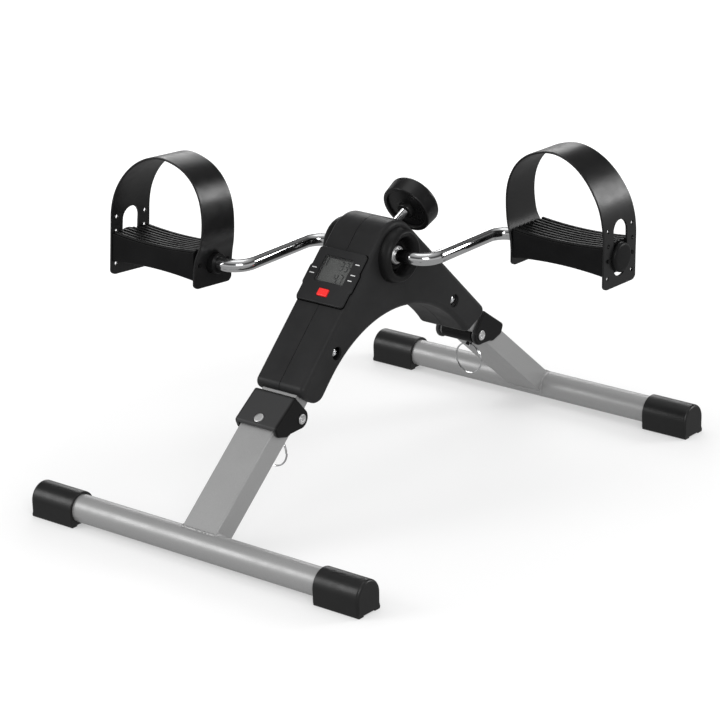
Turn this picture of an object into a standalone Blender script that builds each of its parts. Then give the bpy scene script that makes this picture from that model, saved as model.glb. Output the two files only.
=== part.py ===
"""Folding pedal exerciser: a housing on two folding legs, a bent crank and two strapped pedals.

The frame has X along the crank (+X is the rider's right pedal), Y from the display side to the far
side and Z up. The origin is on the floor, midway between the two foot bars. Sizes are in metres.
"""
import bmesh
import bpy
from math import asin, cos, hypot, pi, radians, sin
from mathutils import Matrix, Vector

GAP = 0.0003

# Hub and slopes. A side is -1 for the front (display) leg and +1 for the rear leg.
HUB_Z = 0.214
SLOPE = radians(44.7)
FRONT = -1
REAR = 1

# Housing
HOUSING_HALF = 0.0274
HOUSING_WALL = 0.0026
DOME_R = 0.0308
ARCH_R = 0.1283
ARCH_Z = 0.034
HOUSING_TOE = (0.136, 0.1227, 0.007)
REAR_HEEL = (0.104, 0.1085, 0.008)
FRONT_HEEL = (0.110, 0.1045, 0.012)
ARCH_REACH = {FRONT: 0.092, REAR: 0.0995}
HOUSING_EDGE = 0.004
SCREW_YZ = (0.085, 0.1466)

# Display
DISPLAY_S = 0.0473
DISPLAY_LENGTH = 0.0536
DISPLAY_FACE = 0.0335
WINDOW = (0.032, 0.026)
WINDOW_UP = 0.0063
BUTTON = (0.0112, 0.0074)
BUTTON_DOWN = 0.0166
DISPLAY_BACK = 0.0262
PLATE_BACK = 0.0311
LCD_BACK = 0.0288
KEY_BACK = 0.0300
CELL_XY = (0.0125, -0.0145)
CELL_R = 0.0046

# Hub, crank and brake
RING_OUT = 0.025
RING_IN = 0.0158
RING_FACE = 0.038
ROD_R = 0.006
BEARING_R = 0.014
CRANK_R = 0.1077
CRANK_X = 0.0624
CRANK_BEND = 0.018
DRUM_R = 0.015
SCREW_LEAN = radians(65)
SCREW_R = 0.0035
KNOB_R = 0.0252
KNOB_BACK = 0.0554
KNOB_THICK = 0.018
SHOE_GAP = 0.0022
SHOE_THICK = 0.0032
SHOE_SPAN = 34
SCREW_FROM = 0.0208
SCREW_TO = 0.0655
MAGNET_Y = -0.0105
PLATE_TOP = 0.236

# Pedal: distances in X are from the machine's middle, heights from the spindle
PEDAL_IN = 0.0945
PEDAL_OUT = 0.1903
PEDAL_HALF = 0.024
PEDAL_UP = 0.014
PEDAL_SAG = 0.0028
RIBS = 8
RIB_DEEP = 0.0018
STRAP_THICK = 0.002
STRAP_STEPS = 3
STRAP_PATH = [
    (0.0930, -0.0210), (0.0930, -0.0060), (0.0915, 0.0060), (0.0874, 0.0190), (0.0859, 0.0350),
    (0.0868, 0.0490), (0.0905, 0.0620), (0.0980, 0.0740), (0.1090, 0.0828), (0.1220, 0.0878),
    (0.1355, 0.0897), (0.1490, 0.0871), (0.1617, 0.0808), (0.1724, 0.0717), (0.1809, 0.0607),
    (0.1872, 0.0482), (0.1906, 0.0345), (0.1917, 0.0200), (0.1917, 0.0000), (0.1917, -0.0260),
]
# The strap's width at each point of its path, and how far it leans towards the toes there
STRAP_WIDTHS = [0.0503, 0.0503, 0.0490, 0.0445, 0.0425, 0.0418, 0.0410, 0.0403, 0.0400, 0.0402,
                0.0410, 0.0422, 0.0437, 0.0455, 0.0473, 0.0488, 0.0500, 0.0503, 0.0503, 0.0503]
STRAP_LEANS = [0, 0, 0.0003, 0.0012, 0.0020, 0.0027, 0.0032, 0.0037, 0.0040, 0.0042,
               0.0043, 0.0042, 0.0040, 0.0036, 0.0030, 0.0020, 0.0010, 0, 0, 0]
PLATE_CORNER = 0.006
BUSH_R = 0.0095
NECK_R = 0.0093
CAP_R = 0.0135
PEG_R = 0.0017
PEG_Y = 0.0185
SLOT_TOP = 0.0235
SLOT_DROP = 0.0068
HOLE_HEIGHTS = (-0.016, 0.0, 0.0135, 0.027)
# How far each pedal hangs from level at rest, about +X
PEDAL_TILT = {"left": radians(-5), "right": radians(-1.5)}

# Legs
LEG_SLOPE = radians(40.7)
LEG_HALF = 0.019
LEG_OUTER = 0.1795
LEG_INNER = 0.1589
LEG_WALL = 0.0016
PIVOT = (0.1304, 0.099)
PIVOT_DOWN = PIVOT[0] * cos(SLOPE) + (HUB_Z - PIVOT[1]) * sin(SLOPE)
BAR_Y = 0.243
BAR_Z = 0.0148
BAR_R = 0.0127
BAR_LENGTH = 0.370
CAP_LENGTH = 0.048
CAP_WALL_R = 0.0152
TUBE_WALL = 0.0015
EAR_R = 0.007
LEG_TOP = 0.013

# Frame stub, knuckle and lock
STUB_OUTER = 0.0254
STUB_INNER = 0.0079
STUB_TOP = 0.026
STUB_CLEAR = 0.0088
KNUCKLE_HALF = 0.0232
KNUCKLE_PLATE = 0.0023
KNUCKLE_CORNERS = [(0.136, 0.1215, 0.002), (0.1661, 0.10006, 0.0035),
                   (0.1622, 0.0912, 0.005), (0.148, 0.0872, 0.008)]
KNUCKLE_R = 0.0095
PIN_R = 0.003
BLOCK_R = 0.0084
LOCK_Y = 0.160
LOCK_R = 0.003
LOCK_TAIL = 0.028
RING_MAJOR = 0.0145
RING_WIRE = 0.0010
RING_HOLE_R = 0.0017
COIL_R = 0.0043
COIL_WIRE = 0.00045
COIL_DEPTHS = (0.0168, 0.0224)


# Scene and finishing

def clear_scene():
    for obj in list(bpy.data.objects):
        bpy.data.objects.remove(obj, do_unlink=True)
    for collection in list(bpy.data.collections):
        bpy.data.collections.remove(collection)


def new_collection(name):
    collection = bpy.data.collections.new(name)
    bpy.context.scene.collection.children.link(collection)
    return collection


clear_scene()
PARTS = new_collection("pedal_exerciser")
CUTTERS = new_collection("cutters")

PAINT = ((0.42, 0.42, 0.43), 0.38, 0.55)
CHROME = ((0.85, 0.86, 0.88), 0.08, 1.0)
STEEL = ((0.55, 0.56, 0.58), 0.3, 1.0)
DARK_STEEL = ((0.10, 0.10, 0.11), 0.4, 0.9)
HOUSING_PLASTIC = ((0.035, 0.035, 0.037), 0.45, 0.0)
BLACK_PLASTIC = ((0.012, 0.012, 0.013), 0.38, 0.0)
STRAP_PLASTIC = ((0.018, 0.018, 0.019), 0.33, 0.0)
RED_PLASTIC = ((0.75, 0.02, 0.02), 0.35, 0.0)
LCD_GREY = ((0.22, 0.25, 0.22), 0.3, 0.0)
CLEAR = ((0.30, 0.32, 0.31), 0.05, 0.0)
BOARD_GREEN = ((0.02, 0.16, 0.07), 0.5, 0.0)


def finish(obj, look, parent=None):
    """Give the object its own material and put it under its body's empty."""
    colour, roughness, metallic = look
    material = bpy.data.materials.new(obj.name)
    material.use_nodes = True
    shader = material.node_tree.nodes["Principled BSDF"]
    shader.inputs["Base Color"].default_value = (*colour, 1)
    shader.inputs["Roughness"].default_value = roughness
    shader.inputs["Metallic"].default_value = metallic
    obj.data.materials.clear()
    obj.data.materials.append(material)
    obj.data.shade_smooth()
    obj.data.set_sharp_from_angle(angle=radians(35))
    if parent:
        obj.parent = parent
        obj.matrix_parent_inverse = parent.matrix_world.inverted()
    return obj


def body(name, location):
    """An empty on a joint's axis, which carries the pieces that move with it."""
    empty = bpy.data.objects.new(name, None)
    empty.location = location
    PARTS.objects.link(empty)
    bpy.context.view_layer.update()
    return empty


# Solids

def add(name, mesh, matrix=None, collection=None):
    obj = bpy.data.objects.new(name, mesh)
    (collection or PARTS).objects.link(obj)
    if matrix:
        obj.matrix_world = matrix
    return obj


def from_bmesh(name, bm, matrix=None):
    mesh = bpy.data.meshes.new(name)
    bmesh.ops.recalc_face_normals(bm, faces=bm.faces)
    bm.to_mesh(mesh)
    bm.free()
    return add(name, mesh, matrix)


def as_mesh(obj):
    """Replace a curve, or an object with modifiers, by the mesh that it makes."""
    bpy.context.view_layer.update()
    graph = bpy.context.evaluated_depsgraph_get()
    mesh = bpy.data.meshes.new_from_object(obj.evaluated_get(graph))
    bm = bmesh.new()
    bm.from_mesh(mesh)
    bmesh.ops.remove_doubles(bm, verts=bm.verts, dist=0.000002)
    bmesh.ops.recalc_face_normals(bm, faces=bm.faces)
    bm.to_mesh(mesh)
    bm.free()
    name = obj.name
    mesh.transform(obj.matrix_world)
    bpy.data.objects.remove(obj)
    return add(name, mesh)


def box(name, size, centre=(0, 0, 0), matrix=None):
    bm = bmesh.new()
    bmesh.ops.create_cube(bm, size=1)
    bmesh.ops.scale(bm, vec=size, verts=bm.verts)
    bmesh.ops.translate(bm, vec=centre, verts=bm.verts)
    return from_bmesh(name, bm, matrix)


def along(start, end):
    """The matrix that takes local Z from start towards end."""
    start = Vector(start)
    direction = Vector(end) - start
    return Matrix.Translation(start) @ direction.to_track_quat("Z", "Y").to_matrix().to_4x4()


def rod(name, start, end, radius, sides=24):
    length = (Vector(end) - Vector(start)).length
    bm = bmesh.new()
    bmesh.ops.create_cone(bm, cap_ends=True, segments=sides, radius1=radius, radius2=radius, depth=length)
    bmesh.ops.translate(bm, vec=(0, 0, length / 2), verts=bm.verts)
    return from_bmesh(name, bm, along(start, end))


def turned(name, profile, start, end, steps=32):
    """A turned solid. The profile is (radius, height) points down its outer side, top first."""
    closed = profile[0][0] > 0
    edges = [(i, i + 1) for i in range(len(profile) - 1)]
    if closed:
        edges.append((len(profile) - 1, 0))
    mesh = bpy.data.meshes.new(name)
    mesh.from_pydata([(r, 0, h) for r, h in profile], edges, [])
    obj = add(name, mesh, along(start, end))
    screw = obj.modifiers.new("turn", "SCREW")
    screw.axis = "Z"
    screw.steps = steps
    screw.render_steps = steps
    screw.use_merge_vertices = True
    screw.merge_threshold = 0.00001
    return as_mesh(obj)


def ring_profile(outer, inner, low, high):
    return [(outer, high), (outer, low), (inner, low), (inner, high)]


def outline(name, loops, low, high, axes="YZ"):
    """A flat outline, with holes where loops lie inside it, extruded from low to high."""
    curve = bpy.data.curves.new(name, "CURVE")
    curve.dimensions = "2D"
    curve.fill_mode = "BOTH"
    curve.extrude = (high - low) / 2
    for loop in loops:
        spline = curve.splines.new("POLY")
        spline.points.add(len(loop) - 1)
        for point, (a, b) in zip(spline.points, loop):
            point.co = (a, b, 0, 1)
        spline.use_cyclic_u = True
    middle = (low + high) / 2
    if axes == "YZ":
        rows = ((0, 0, 1, middle), (1, 0, 0, 0), (0, 1, 0, 0), (0, 0, 0, 1))
    else:
        rows = ((1, 0, 0, 0), (0, 0, -1, middle), (0, 1, 0, 0), (0, 0, 0, 1))
    return as_mesh(add(name, curve, Matrix(rows)))


def wire(name, points, radius, bevel=4, closed=False):
    """A round bar or wire along the points, with filled caps."""
    curve = bpy.data.curves.new(name, "CURVE")
    curve.dimensions = "3D"
    curve.bevel_depth = radius
    curve.bevel_resolution = bevel
    curve.use_fill_caps = not closed
    spline = curve.splines.new("POLY")
    spline.points.add(len(points) - 1)
    for point, place in zip(spline.points, points):
        point.co = (*place, 1)
    spline.use_cyclic_u = closed
    return as_mesh(add(name, curve))


def boolean(target, tool, operation):
    modifier = target.modifiers.new(tool.name, "BOOLEAN")
    modifier.operation = operation
    modifier.solver = "EXACT"
    modifier.object = tool
    PARTS.objects.unlink(tool)
    CUTTERS.objects.link(tool)
    tool.hide_render = True
    tool.display_type = "WIRE"
    return target


def cut(target, *tools):
    for tool in tools:
        boolean(target, tool, "DIFFERENCE")
    return target


def join(target, *tools):
    for tool in tools:
        boolean(target, tool, "UNION")
    return target


# Outlines

def arc(centre, radius, first, last, steps):
    """Points along an arc between two angles in degrees."""
    angles = [radians(first + (last - first) * i / steps) for i in range(steps + 1)]
    return [(centre[0] + radius * cos(a), centre[1] + radius * sin(a)) for a in angles]


def circle(centre, radius, steps=24):
    return arc(centre, radius, 0, 360, steps)[:-1]


def rounded(corners, steps=4):
    """Round each (a, b, radius) corner of a closed outline."""
    points = []
    count = len(corners)
    for i, (a, b, radius) in enumerate(corners):
        here = Vector((a, b))
        before = (Vector(corners[i - 1][:2]) - here).normalized()
        after = (Vector(corners[(i + 1) % count][:2]) - here).normalized()
        half = before.angle(after) / 2
        if radius == 0 or half > radians(89):
            points.append((a, b))
            continue
        centre = here + (before + after).normalized() * radius / sin(half)
        first = here + before * radius / (sin(half) / cos(half)) - centre
        last = here + after * radius / (sin(half) / cos(half)) - centre
        turn = first.angle_signed(last)
        for step in range(steps + 1):
            spoke = first.copy()
            spoke.rotate(Matrix.Rotation(-turn * step / steps, 2))
            points.append(tuple(centre + spoke))
    return points


def inset(points, distance):
    """Move each side of a closed, anticlockwise outline inwards."""
    result = []
    count = len(points)
    for i in range(count):
        here = Vector(points[i])
        before = (here - Vector(points[i - 1])).normalized()
        after = (Vector(points[(i + 1) % count]) - here).normalized()
        normal_a = Vector((-before.y, before.x))
        normal_b = Vector((-after.y, after.x))
        middle = (normal_a + normal_b).normalized()
        result.append(tuple(here + middle * distance / max(0.3, middle.dot(normal_a))))
    return result


def mirrored(points):
    return [(-a, b) for a, b in reversed(points)]


def side_points(points, side):
    """Points given at positive Y, taken to the front or the rear leg."""
    return points if side == REAR else mirrored(points)


def on_slope(side, down, out):
    """(Y, Z) of a point so far down the housing's slope and so far out from the crank's axis."""
    y = down * cos(SLOPE) + out * sin(SLOPE)
    return side * y, HUB_Z - down * sin(SLOPE) + out * cos(SLOPE)


def housing_outline():
    """The housing's side view, anticlockwise seen from the right."""
    lean = 90 - SLOPE * 180 / pi
    dome = arc((0, HUB_Z), DOME_R, lean, 180 - lean, 14)
    first, last = [90 - asin(ARCH_REACH[side] / ARCH_R) * 180 / pi for side in (FRONT, REAR)]
    arch = arc((0, ARCH_Z), ARCH_R, 180 - first, last, 20)
    front_end = (-arch[0][0], arch[0][1])
    front = rounded([(*front_end, 0), FRONT_HEEL, HOUSING_TOE, (*dome[0], 0)])[1:-1]
    rear = rounded([(*arch[-1], 0), REAR_HEEL, HOUSING_TOE, (*dome[0], 0)])[1:-1]
    return dome + mirrored(front) + arch + rear


def knuckle_outline():
    """A knuckle's side view at positive Y."""
    corners = [(*PIVOT, 0)] + [KNUCKLE_CORNERS[3], KNUCKLE_CORNERS[2], KNUCKLE_CORNERS[1]]
    corners.append(KNUCKLE_CORNERS[0])
    shell = rounded(corners)[1:]
    return arc(PIVOT, KNUCKLE_R, 150, 280, 9) + shell


# Housing and display

def housing_shell(name, hand):
    """One moulded half of the housing, open towards the seam."""
    low, high = sorted((hand * GAP / 2, hand * HOUSING_HALF))
    shell = outline(name, [housing_outline()], low, high)
    bm = bmesh.new()
    bm.from_mesh(shell.data)
    bmesh.ops.dissolve_limit(bm, angle_limit=0.0005, verts=bm.verts, edges=bm.edges)
    rim = [e for e in bm.edges if all(abs(v.co.x) > HOUSING_HALF - 0.00001 for v in e.verts)]
    rim = [e for e in rim if any(abs(f.normal.x) < 0.5 for f in e.link_faces)]
    bmesh.ops.bevel(bm, geom=rim, offset=HOUSING_EDGE, segments=3, profile=0.5, affect="EDGES",
                    clamp_overlap=False)
    bm.to_mesh(shell.data)
    bm.free()
    low, high = sorted((-hand * 0.002, hand * (HOUSING_HALF - HOUSING_WALL)))
    cavity = outline(name + "_cavity", [inset(housing_outline(), HOUSING_WALL)], low, high)
    hub = rod(name + "_hub", (hand * 0.020, 0, HUB_Z), (hand * 0.030, 0, HUB_Z), 0.0164, 32)
    screw_hole = rod(name + "_tension", *tension_line(0.020, 0.045), 0.0048)
    opening = box(name + "_display", (0.0406, 0.0458, 0.012), (0, 0, 0.030), display_frame())
    cut(shell, cavity, hub, screw_hole, opening)
    mouth = (2 * LEG_HALF + 0.0008, 0.050, STUB_OUTER - STUB_INNER + 0.0008)
    for side in (FRONT, REAR):
        middle = (0, side * (PIVOT_DOWN - 0.012), (STUB_OUTER + STUB_INNER) / 2)
        cut(shell, box(f"{name}_mouth_{side}", mouth, middle, slope_frame(side)))
    if hand > 0:
        for side in (FRONT, REAR):
            place = (side * SCREW_YZ[0], SCREW_YZ[1])
            cut(shell, rod(f"{name}_screw_{side}", (0.020, *place), (0.030, *place), 0.0053))
    return finish(as_mesh(shell), HOUSING_PLASTIC)


def slope_frame(side):
    """Local Y runs along the slope towards +Y, local Z out of it, from the crank's axis."""
    rows = ((1, 0, 0, 0), (0, cos(SLOPE), side * sin(SLOPE), 0),
            (0, -side * sin(SLOPE), cos(SLOPE), HUB_Z), (0, 0, 0, 1))
    return Matrix(rows)


def display_frame():
    """Local Y runs up the front slope and local Z out of it, at the middle of the display."""
    return slope_frame(FRONT) @ Matrix.Translation((0, -DISPLAY_S, 0))


def tension_line(low, high):
    """Two points on the tension screw's axis, at these distances from the crank's axis."""
    return [(0, r * sin(SCREW_LEAN), HUB_Z + r * cos(SCREW_LEAN)) for r in (low, high)]


def slab(name, size, low, x=0.0, y=0.0):
    """A block of the display, of this width, length and thickness, from low outwards."""
    return box(name, size, (x, y, low + size[2] / 2), display_frame())


def display():
    plate_thick = DISPLAY_FACE - PLATE_BACK
    case = slab("display_case", (2 * HOUSING_HALF, DISPLAY_LENGTH, plate_thick), PLATE_BACK)
    join(case, slab("case_tub", (0.040, 0.0452, PLATE_BACK + 0.0005 - DISPLAY_BACK), DISPLAY_BACK))
    inside = (0.0376, 0.0428, PLATE_BACK - DISPLAY_BACK - 0.001)
    cut(case, slab("case_inside", inside, DISPLAY_BACK + 0.001))
    cut(case, slab("case_window", (*WINDOW, 0.006), PLATE_BACK - 0.001, 0, WINDOW_UP))
    hole = (BUTTON[0] + 0.0008, BUTTON[1] + 0.0008, 0.006)
    cut(case, slab("case_button", hole, PLATE_BACK - 0.001, 0, -BUTTON_DOWN))
    finish(as_mesh(case), BLACK_PLASTIC)
    window = (WINDOW[0] - 2 * GAP, WINDOW[1] - 2 * GAP, 0.0012)
    finish(slab("display_window", window, 0.0318, 0, WINDOW_UP), CLEAR)
    finish(slab("lcd_panel", (0.0345, 0.029, 0.0020), LCD_BACK, 0, WINDOW_UP), LCD_GREY)
    finish(slab("circuit_board", (0.0366, 0.042, 0.0010), 0.0275), BOARD_GREEN)
    cell = display_frame() @ Vector((*CELL_XY, LCD_BACK))
    out = display_frame() @ Vector((*CELL_XY, LCD_BACK + 0.0020))
    finish(rod("coin_cell", cell, out, CELL_R), STEEL)


def push_button():
    centre = display_frame() @ Vector((0, -BUTTON_DOWN, DISPLAY_FACE))
    carrier = body("button", centre)
    key = slab("reset_button", (*BUTTON, 0.0047), KEY_BACK, 0, -BUTTON_DOWN)
    flange = (BUTTON[0] + 0.0016, BUTTON[1] + 0.0016, 0.0008)
    join(key, slab("button_flange", flange, KEY_BACK, 0, -BUTTON_DOWN))
    finish(as_mesh(key), RED_PLASTIC, carrier)


# Frame inside the housing

def hub_ring(name, hand):
    profile = [(0.0172, 0.0378), (0.0205, RING_FACE), (0.0232, 0.0372), (RING_OUT, 0.0345),
               (RING_OUT, HOUSING_HALF + GAP), (RING_IN, HOUSING_HALF + GAP), (RING_IN, 0.0362)]
    finish(turned(name, profile, (0, 0, HUB_Z), (hand, 0, HUB_Z), 40), BLACK_PLASTIC)


def bearing(name, hand):
    profile = ring_profile(BEARING_R, ROD_R + GAP, 0.0178, 0.0258)
    finish(turned(name, profile, (0, 0, HUB_Z), (hand, 0, HUB_Z)), STEEL)


def hub_plate(name, hand):
    low, high = sorted((hand * 0.0193, hand * 0.0215))
    flat = (STUB_OUTER - 0.0014 + HUB_Z * cos(SLOPE) - PLATE_TOP * cos(SLOPE)) / sin(SLOPE)
    half = [(flat, PLATE_TOP), on_slope(REAR, 0.070, 0.024), on_slope(REAR, 0.070, 0.008),
            on_slope(REAR, 0.024, -0.013)]
    shape = mirrored(half) + half + [(0, 0.190)]
    finish(outline(name, [shape, circle((0, HUB_Z), BEARING_R + GAP)], low, high), STEEL)


def frame_tube(name, side):
    """The steel tube that runs from the hub plates down into the knuckle."""
    low = STUB_TOP
    high = PIVOT_DOWN - STUB_CLEAR
    deep = STUB_OUTER - STUB_INNER
    middle = (0, side * (low + high) / 2, STUB_INNER + deep / 2)
    tube = box(name, (2 * LEG_HALF, high - low, deep), middle, slope_frame(side))
    inside = (2 * (LEG_HALF - TUBE_WALL), high - low + 0.010, deep - 2 * TUBE_WALL)
    cut(tube, box(name + "_inside", inside, middle, slope_frame(side)))
    place = (side * SCREW_YZ[0], SCREW_YZ[1])
    cut(tube, rod(name + "_hole", (-0.030, *place), (0.030, *place), 0.0023))
    finish(as_mesh(tube), PAINT)


def housing_screw(name, side):
    """A pan-head screw from the right shell through the frame tube."""
    profile = [(0, 0.0252), (0.0025, 0.0250), (0.0040, 0.0239), (0.0040, 0.0220), (0.0020, 0.0220),
               (0.0020, -0.0215), (0, -0.0220)]
    start = (0, side * SCREW_YZ[0], SCREW_YZ[1])
    finish(turned(name, profile, start, (1, start[1], start[2]), 20), CHROME)


def count_sensor():
    post = box("count_sensor", (0.0030, 0.008, 0.005), (0.0150, -0.0215, HUB_Z + 0.004))
    finish(post, BLACK_PLASTIC)


# Crank and brake

def bent(corners, radius, steps=7):
    """A path in the XY plane whose inner corners are rounded."""
    closed = rounded([(x, y, 0 if i in (0, len(corners) - 1) else radius)
                      for i, (x, y) in enumerate(corners)], steps)
    return [(x, y, HUB_Z) for x, y in closed]


def crank(name, hand, carrier):
    corners = [(0.0003, 0), (CRANK_X, 0), (CRANK_X, CRANK_R), (0.184, CRANK_R)]
    corners = [(hand * x, hand * y) for x, y in corners]
    finish(wire(name, bent(corners, CRANK_BEND), ROD_R, 4), CHROME, carrier)


def brake_drum(carrier):
    profile = ring_profile(DRUM_R, ROD_R + GAP, -0.012, 0.012)
    finish(turned("brake_drum", profile, (0, 0, HUB_Z), (1, 0, HUB_Z), 40), STEEL, carrier)
    start = (0.0123, MAGNET_Y, HUB_Z)
    end = (0.0132, MAGNET_Y, HUB_Z)
    finish(rod("count_magnet", start, end, 0.0025, 16), DARK_STEEL, carrier)


def brake():
    carrier = body("brake", (0, 0, HUB_Z))
    lean = 90 - SCREW_LEAN * 180 / pi
    inner = DRUM_R + SHOE_GAP
    pad = arc((0, HUB_Z), inner, lean - SHOE_SPAN, lean + SHOE_SPAN, 12)
    back = arc((0, HUB_Z), inner + SHOE_THICK, lean + SHOE_SPAN, lean - SHOE_SPAN, 12)
    finish(outline("brake_shoe", [pad + back], -0.009, 0.009), DARK_STEEL, carrier)
    return carrier


def tension_knob(brake_body):
    start, end = tension_line(0, 1)
    carrier = body("knob", start)
    carrier.parent = brake_body
    carrier.matrix_parent_inverse = brake_body.matrix_world.inverted()
    screw = [(0, SCREW_TO), (SCREW_R, SCREW_TO), (SCREW_R, SCREW_FROM), (0, SCREW_FROM)]
    finish(turned("tension_screw", screw, start, end, 20), STEEL, carrier)
    face = KNOB_BACK + KNOB_THICK
    profile = [(0, face), (KNOB_R - 0.004, face), (KNOB_R - 0.0012, face - 0.0015),
               (KNOB_R, face - 0.004), (KNOB_R - 0.0004, KNOB_BACK + 0.0012), (KNOB_R - 0.0015, KNOB_BACK),
               (KNOB_R - 0.0043, KNOB_BACK), (KNOB_R - 0.0048, KNOB_BACK + 0.002),
               (0.0080, KNOB_BACK + 0.002), (0.0074, KNOB_BACK - 0.0025),
               (SCREW_R + 0.0004, KNOB_BACK - 0.0025), (SCREW_R + 0.0004, SCREW_TO + 0.0005),
               (0, SCREW_TO + 0.0005)]
    finish(turned("tension_knob", profile, start, end, 40), BLACK_PLASTIC, carrier)


def tension_nut():
    nut = rod("tension_nut", *tension_line(0.0240, 0.0266), 0.0058, 6)
    cut(nut, rod("nut_hole", *tension_line(0.0220, 0.0286), SCREW_R + GAP))
    finish(as_mesh(nut), STEEL)


# Pedals

def pedal_section():
    """The pedal body's end view about its spindle: a ribbed top and a plain underside."""
    pitch = 2 * (PEDAL_HALF - 0.002) / (2 * RIBS - 1)
    top = []
    for i in range(RIBS):
        y = PEDAL_HALF - 0.002 - 2 * i * pitch
        top += [(y, PEDAL_UP), (y - pitch, PEDAL_UP)]
        if i < RIBS - 1:
            top += [(y - pitch, PEDAL_UP - RIB_DEEP), (y - 2 * pitch, PEDAL_UP - RIB_DEEP)]
    low = -PEDAL_UP
    bottom = [(-PEDAL_HALF, PEDAL_UP - 0.002), (-PEDAL_HALF, low + 0.002), (-PEDAL_HALF + 0.002, low),
              (PEDAL_HALF - 0.002, low), (PEDAL_HALF, low + 0.002), (PEDAL_HALF, PEDAL_UP - 0.002)]
    return top + bottom


def pedal_body(name, hand, carrier):
    """The moulded body: its top and underside bow towards the spindle in the middle."""
    y = hand * CRANK_R
    shape = [(y + a, HUB_Z + b) for a, b in pedal_section()]
    low, high = sorted((hand * PEDAL_IN, hand * PEDAL_OUT))
    block = outline(name, [shape], low, high)
    bm = bmesh.new()
    bm.from_mesh(block.data)
    stations = 8
    for i in range(1, stations):
        x = low + (high - low) * i / stations
        everything = bm.verts[:] + bm.edges[:] + bm.faces[:]
        bmesh.ops.bisect_plane(bm, geom=everything, plane_co=(x, 0, 0), plane_no=(1, 0, 0))
    middle = (low + high) / 2
    for vert in bm.verts:
        span = (vert.co.x - middle) / (high - middle)
        vert.co.z -= PEDAL_SAG * (1 - span * span) * (1 if vert.co.z > HUB_Z else -1)
    bm.to_mesh(block.data)
    bm.free()

    def bore(part, start, end, radius):
        return rod(f"{name}_{part}", (hand * start, y, HUB_Z), (hand * end, y, HUB_Z), radius)

    cut(block, bore("spindle", 0.090, 0.195, ROD_R + 0.0006), bore("bush", 0.090, 0.1008, BUSH_R + GAP),
        bore("neck", 0.1815, 0.195, NECK_R + 0.0005))
    for dy in (-PEG_Y, PEG_Y):
        for start, end in ((0.186, 0.1940), (0.098, 0.0908)):
            ends = [(hand * x, y + dy, HUB_Z) for x in (start, end)]
            join(block, rod(f"{name}_peg_{start}_{dy}", *ends, PEG_R, 12))
    finish(as_mesh(block), BLACK_PLASTIC, carrier)


def smooth_path(points, steps):
    """A Catmull-Rom curve through the points."""
    ends = [points[0]] + points + [points[-1]]
    result = []
    for i in range(len(points) - 1):
        a, b, c, d = [Vector(p) for p in ends[i:i + 4]]
        for step in range(steps):
            t = step / steps
            result.append(0.5 * (2 * b + (c - a) * t + (2 * a - 5 * b + 4 * c - d) * t * t
                                 + (3 * b - a - 3 * c + d) * t ** 3))
    result.append(Vector(points[-1]))
    return result


def strap_band(name, hand):
    """The strap as one strip, wide at its plates, narrower over the foot and leaning towards the toes."""
    path = smooth_path(STRAP_PATH, STRAP_STEPS)
    edges = smooth_path(list(zip(STRAP_WIDTHS, STRAP_LEANS)), STRAP_STEPS)
    bm = bmesh.new()
    rings = []
    for i, point in enumerate(path):
        ahead = path[min(i + 1, len(path) - 1)] - path[max(i - 1, 0)]
        normal = Vector((-ahead.y, ahead.x)).normalized() * STRAP_THICK / 2
        wide, lean = edges[i]
        middle = hand * CRANK_R - lean
        corners = [(point + normal, 1), (point + normal, -1), (point - normal, -1), (point - normal, 1)]
        rings.append([bm.verts.new((hand * p.x, middle + e * wide / 2, HUB_Z + p.y)) for p, e in corners])
    for ring, following in zip(rings, rings[1:]):
        for k in range(4):
            after = (k + 1) % 4
            bm.faces.new((ring[k], ring[after], following[after], following[k]))
    bm.faces.new(rings[0])
    bm.faces.new(rings[-1])
    return from_bmesh(name, bm)


def plate_corners(name, y, x, bottom):
    """A cutter that rounds off the two lower corners of one of the strap's plates."""
    half = STRAP_WIDTHS[0] / 2
    top = bottom + 2 * PLATE_CORNER
    corners = [(half, top, 0), (half, bottom, PLATE_CORNER), (-half, bottom, PLATE_CORNER), (-half, top, 0)]
    edge = rounded(corners)
    around = [(-half - 0.01, top), (-half - 0.01, bottom - 0.02), (half + 0.01, bottom - 0.02),
              (half + 0.01, top)]
    loop = [(y + a, HUB_Z + b) for a, b in edge + around]
    return outline(name, [loop], x - 0.004, x + 0.004)


def strap(name, hand, carrier):
    """A moulded hoop, whose ends hang over the pedal's two ends on pegs."""
    y = hand * CRANK_R
    band = strap_band(name, hand)
    outer = hand * STRAP_PATH[-1][0]
    inner = hand * STRAP_PATH[0][0]
    for x, bottom, part in ((outer, STRAP_PATH[-1][1], "outer"), (inner, STRAP_PATH[0][1], "inner")):
        cut(band, plate_corners(f"{name}_{part}_corners", y, x, bottom))
    reach = 0.006
    slot_half = NECK_R + 0.0012
    slot_loop = arc((y, HUB_Z + SLOT_TOP), slot_half, 0, 180, 10)
    slot_loop += arc((y, HUB_Z - SLOT_DROP), slot_half, 180, 360, 10)
    low, high = sorted((outer - reach, outer + reach))
    cut(band, outline(name + "_slot", [slot_loop], low, high))
    cut(band, rod(name + "_boss", (inner - reach, y, HUB_Z), (inner + reach, y, HUB_Z), BUSH_R + 0.0005))
    for x, heights in ((outer, HOLE_HEIGHTS), (inner, (0.0,))):
        for height in heights:
            for dy in (-PEG_Y, PEG_Y):
                place = (y + dy, HUB_Z + height)
                hole = rod(f"{name}_hole_{x}_{height}_{dy}", (x - reach, *place), (x + reach, *place),
                           PEG_R + GAP, 12)
                cut(band, hole)
    finish(as_mesh(band), STRAP_PLASTIC, carrier)


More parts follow.
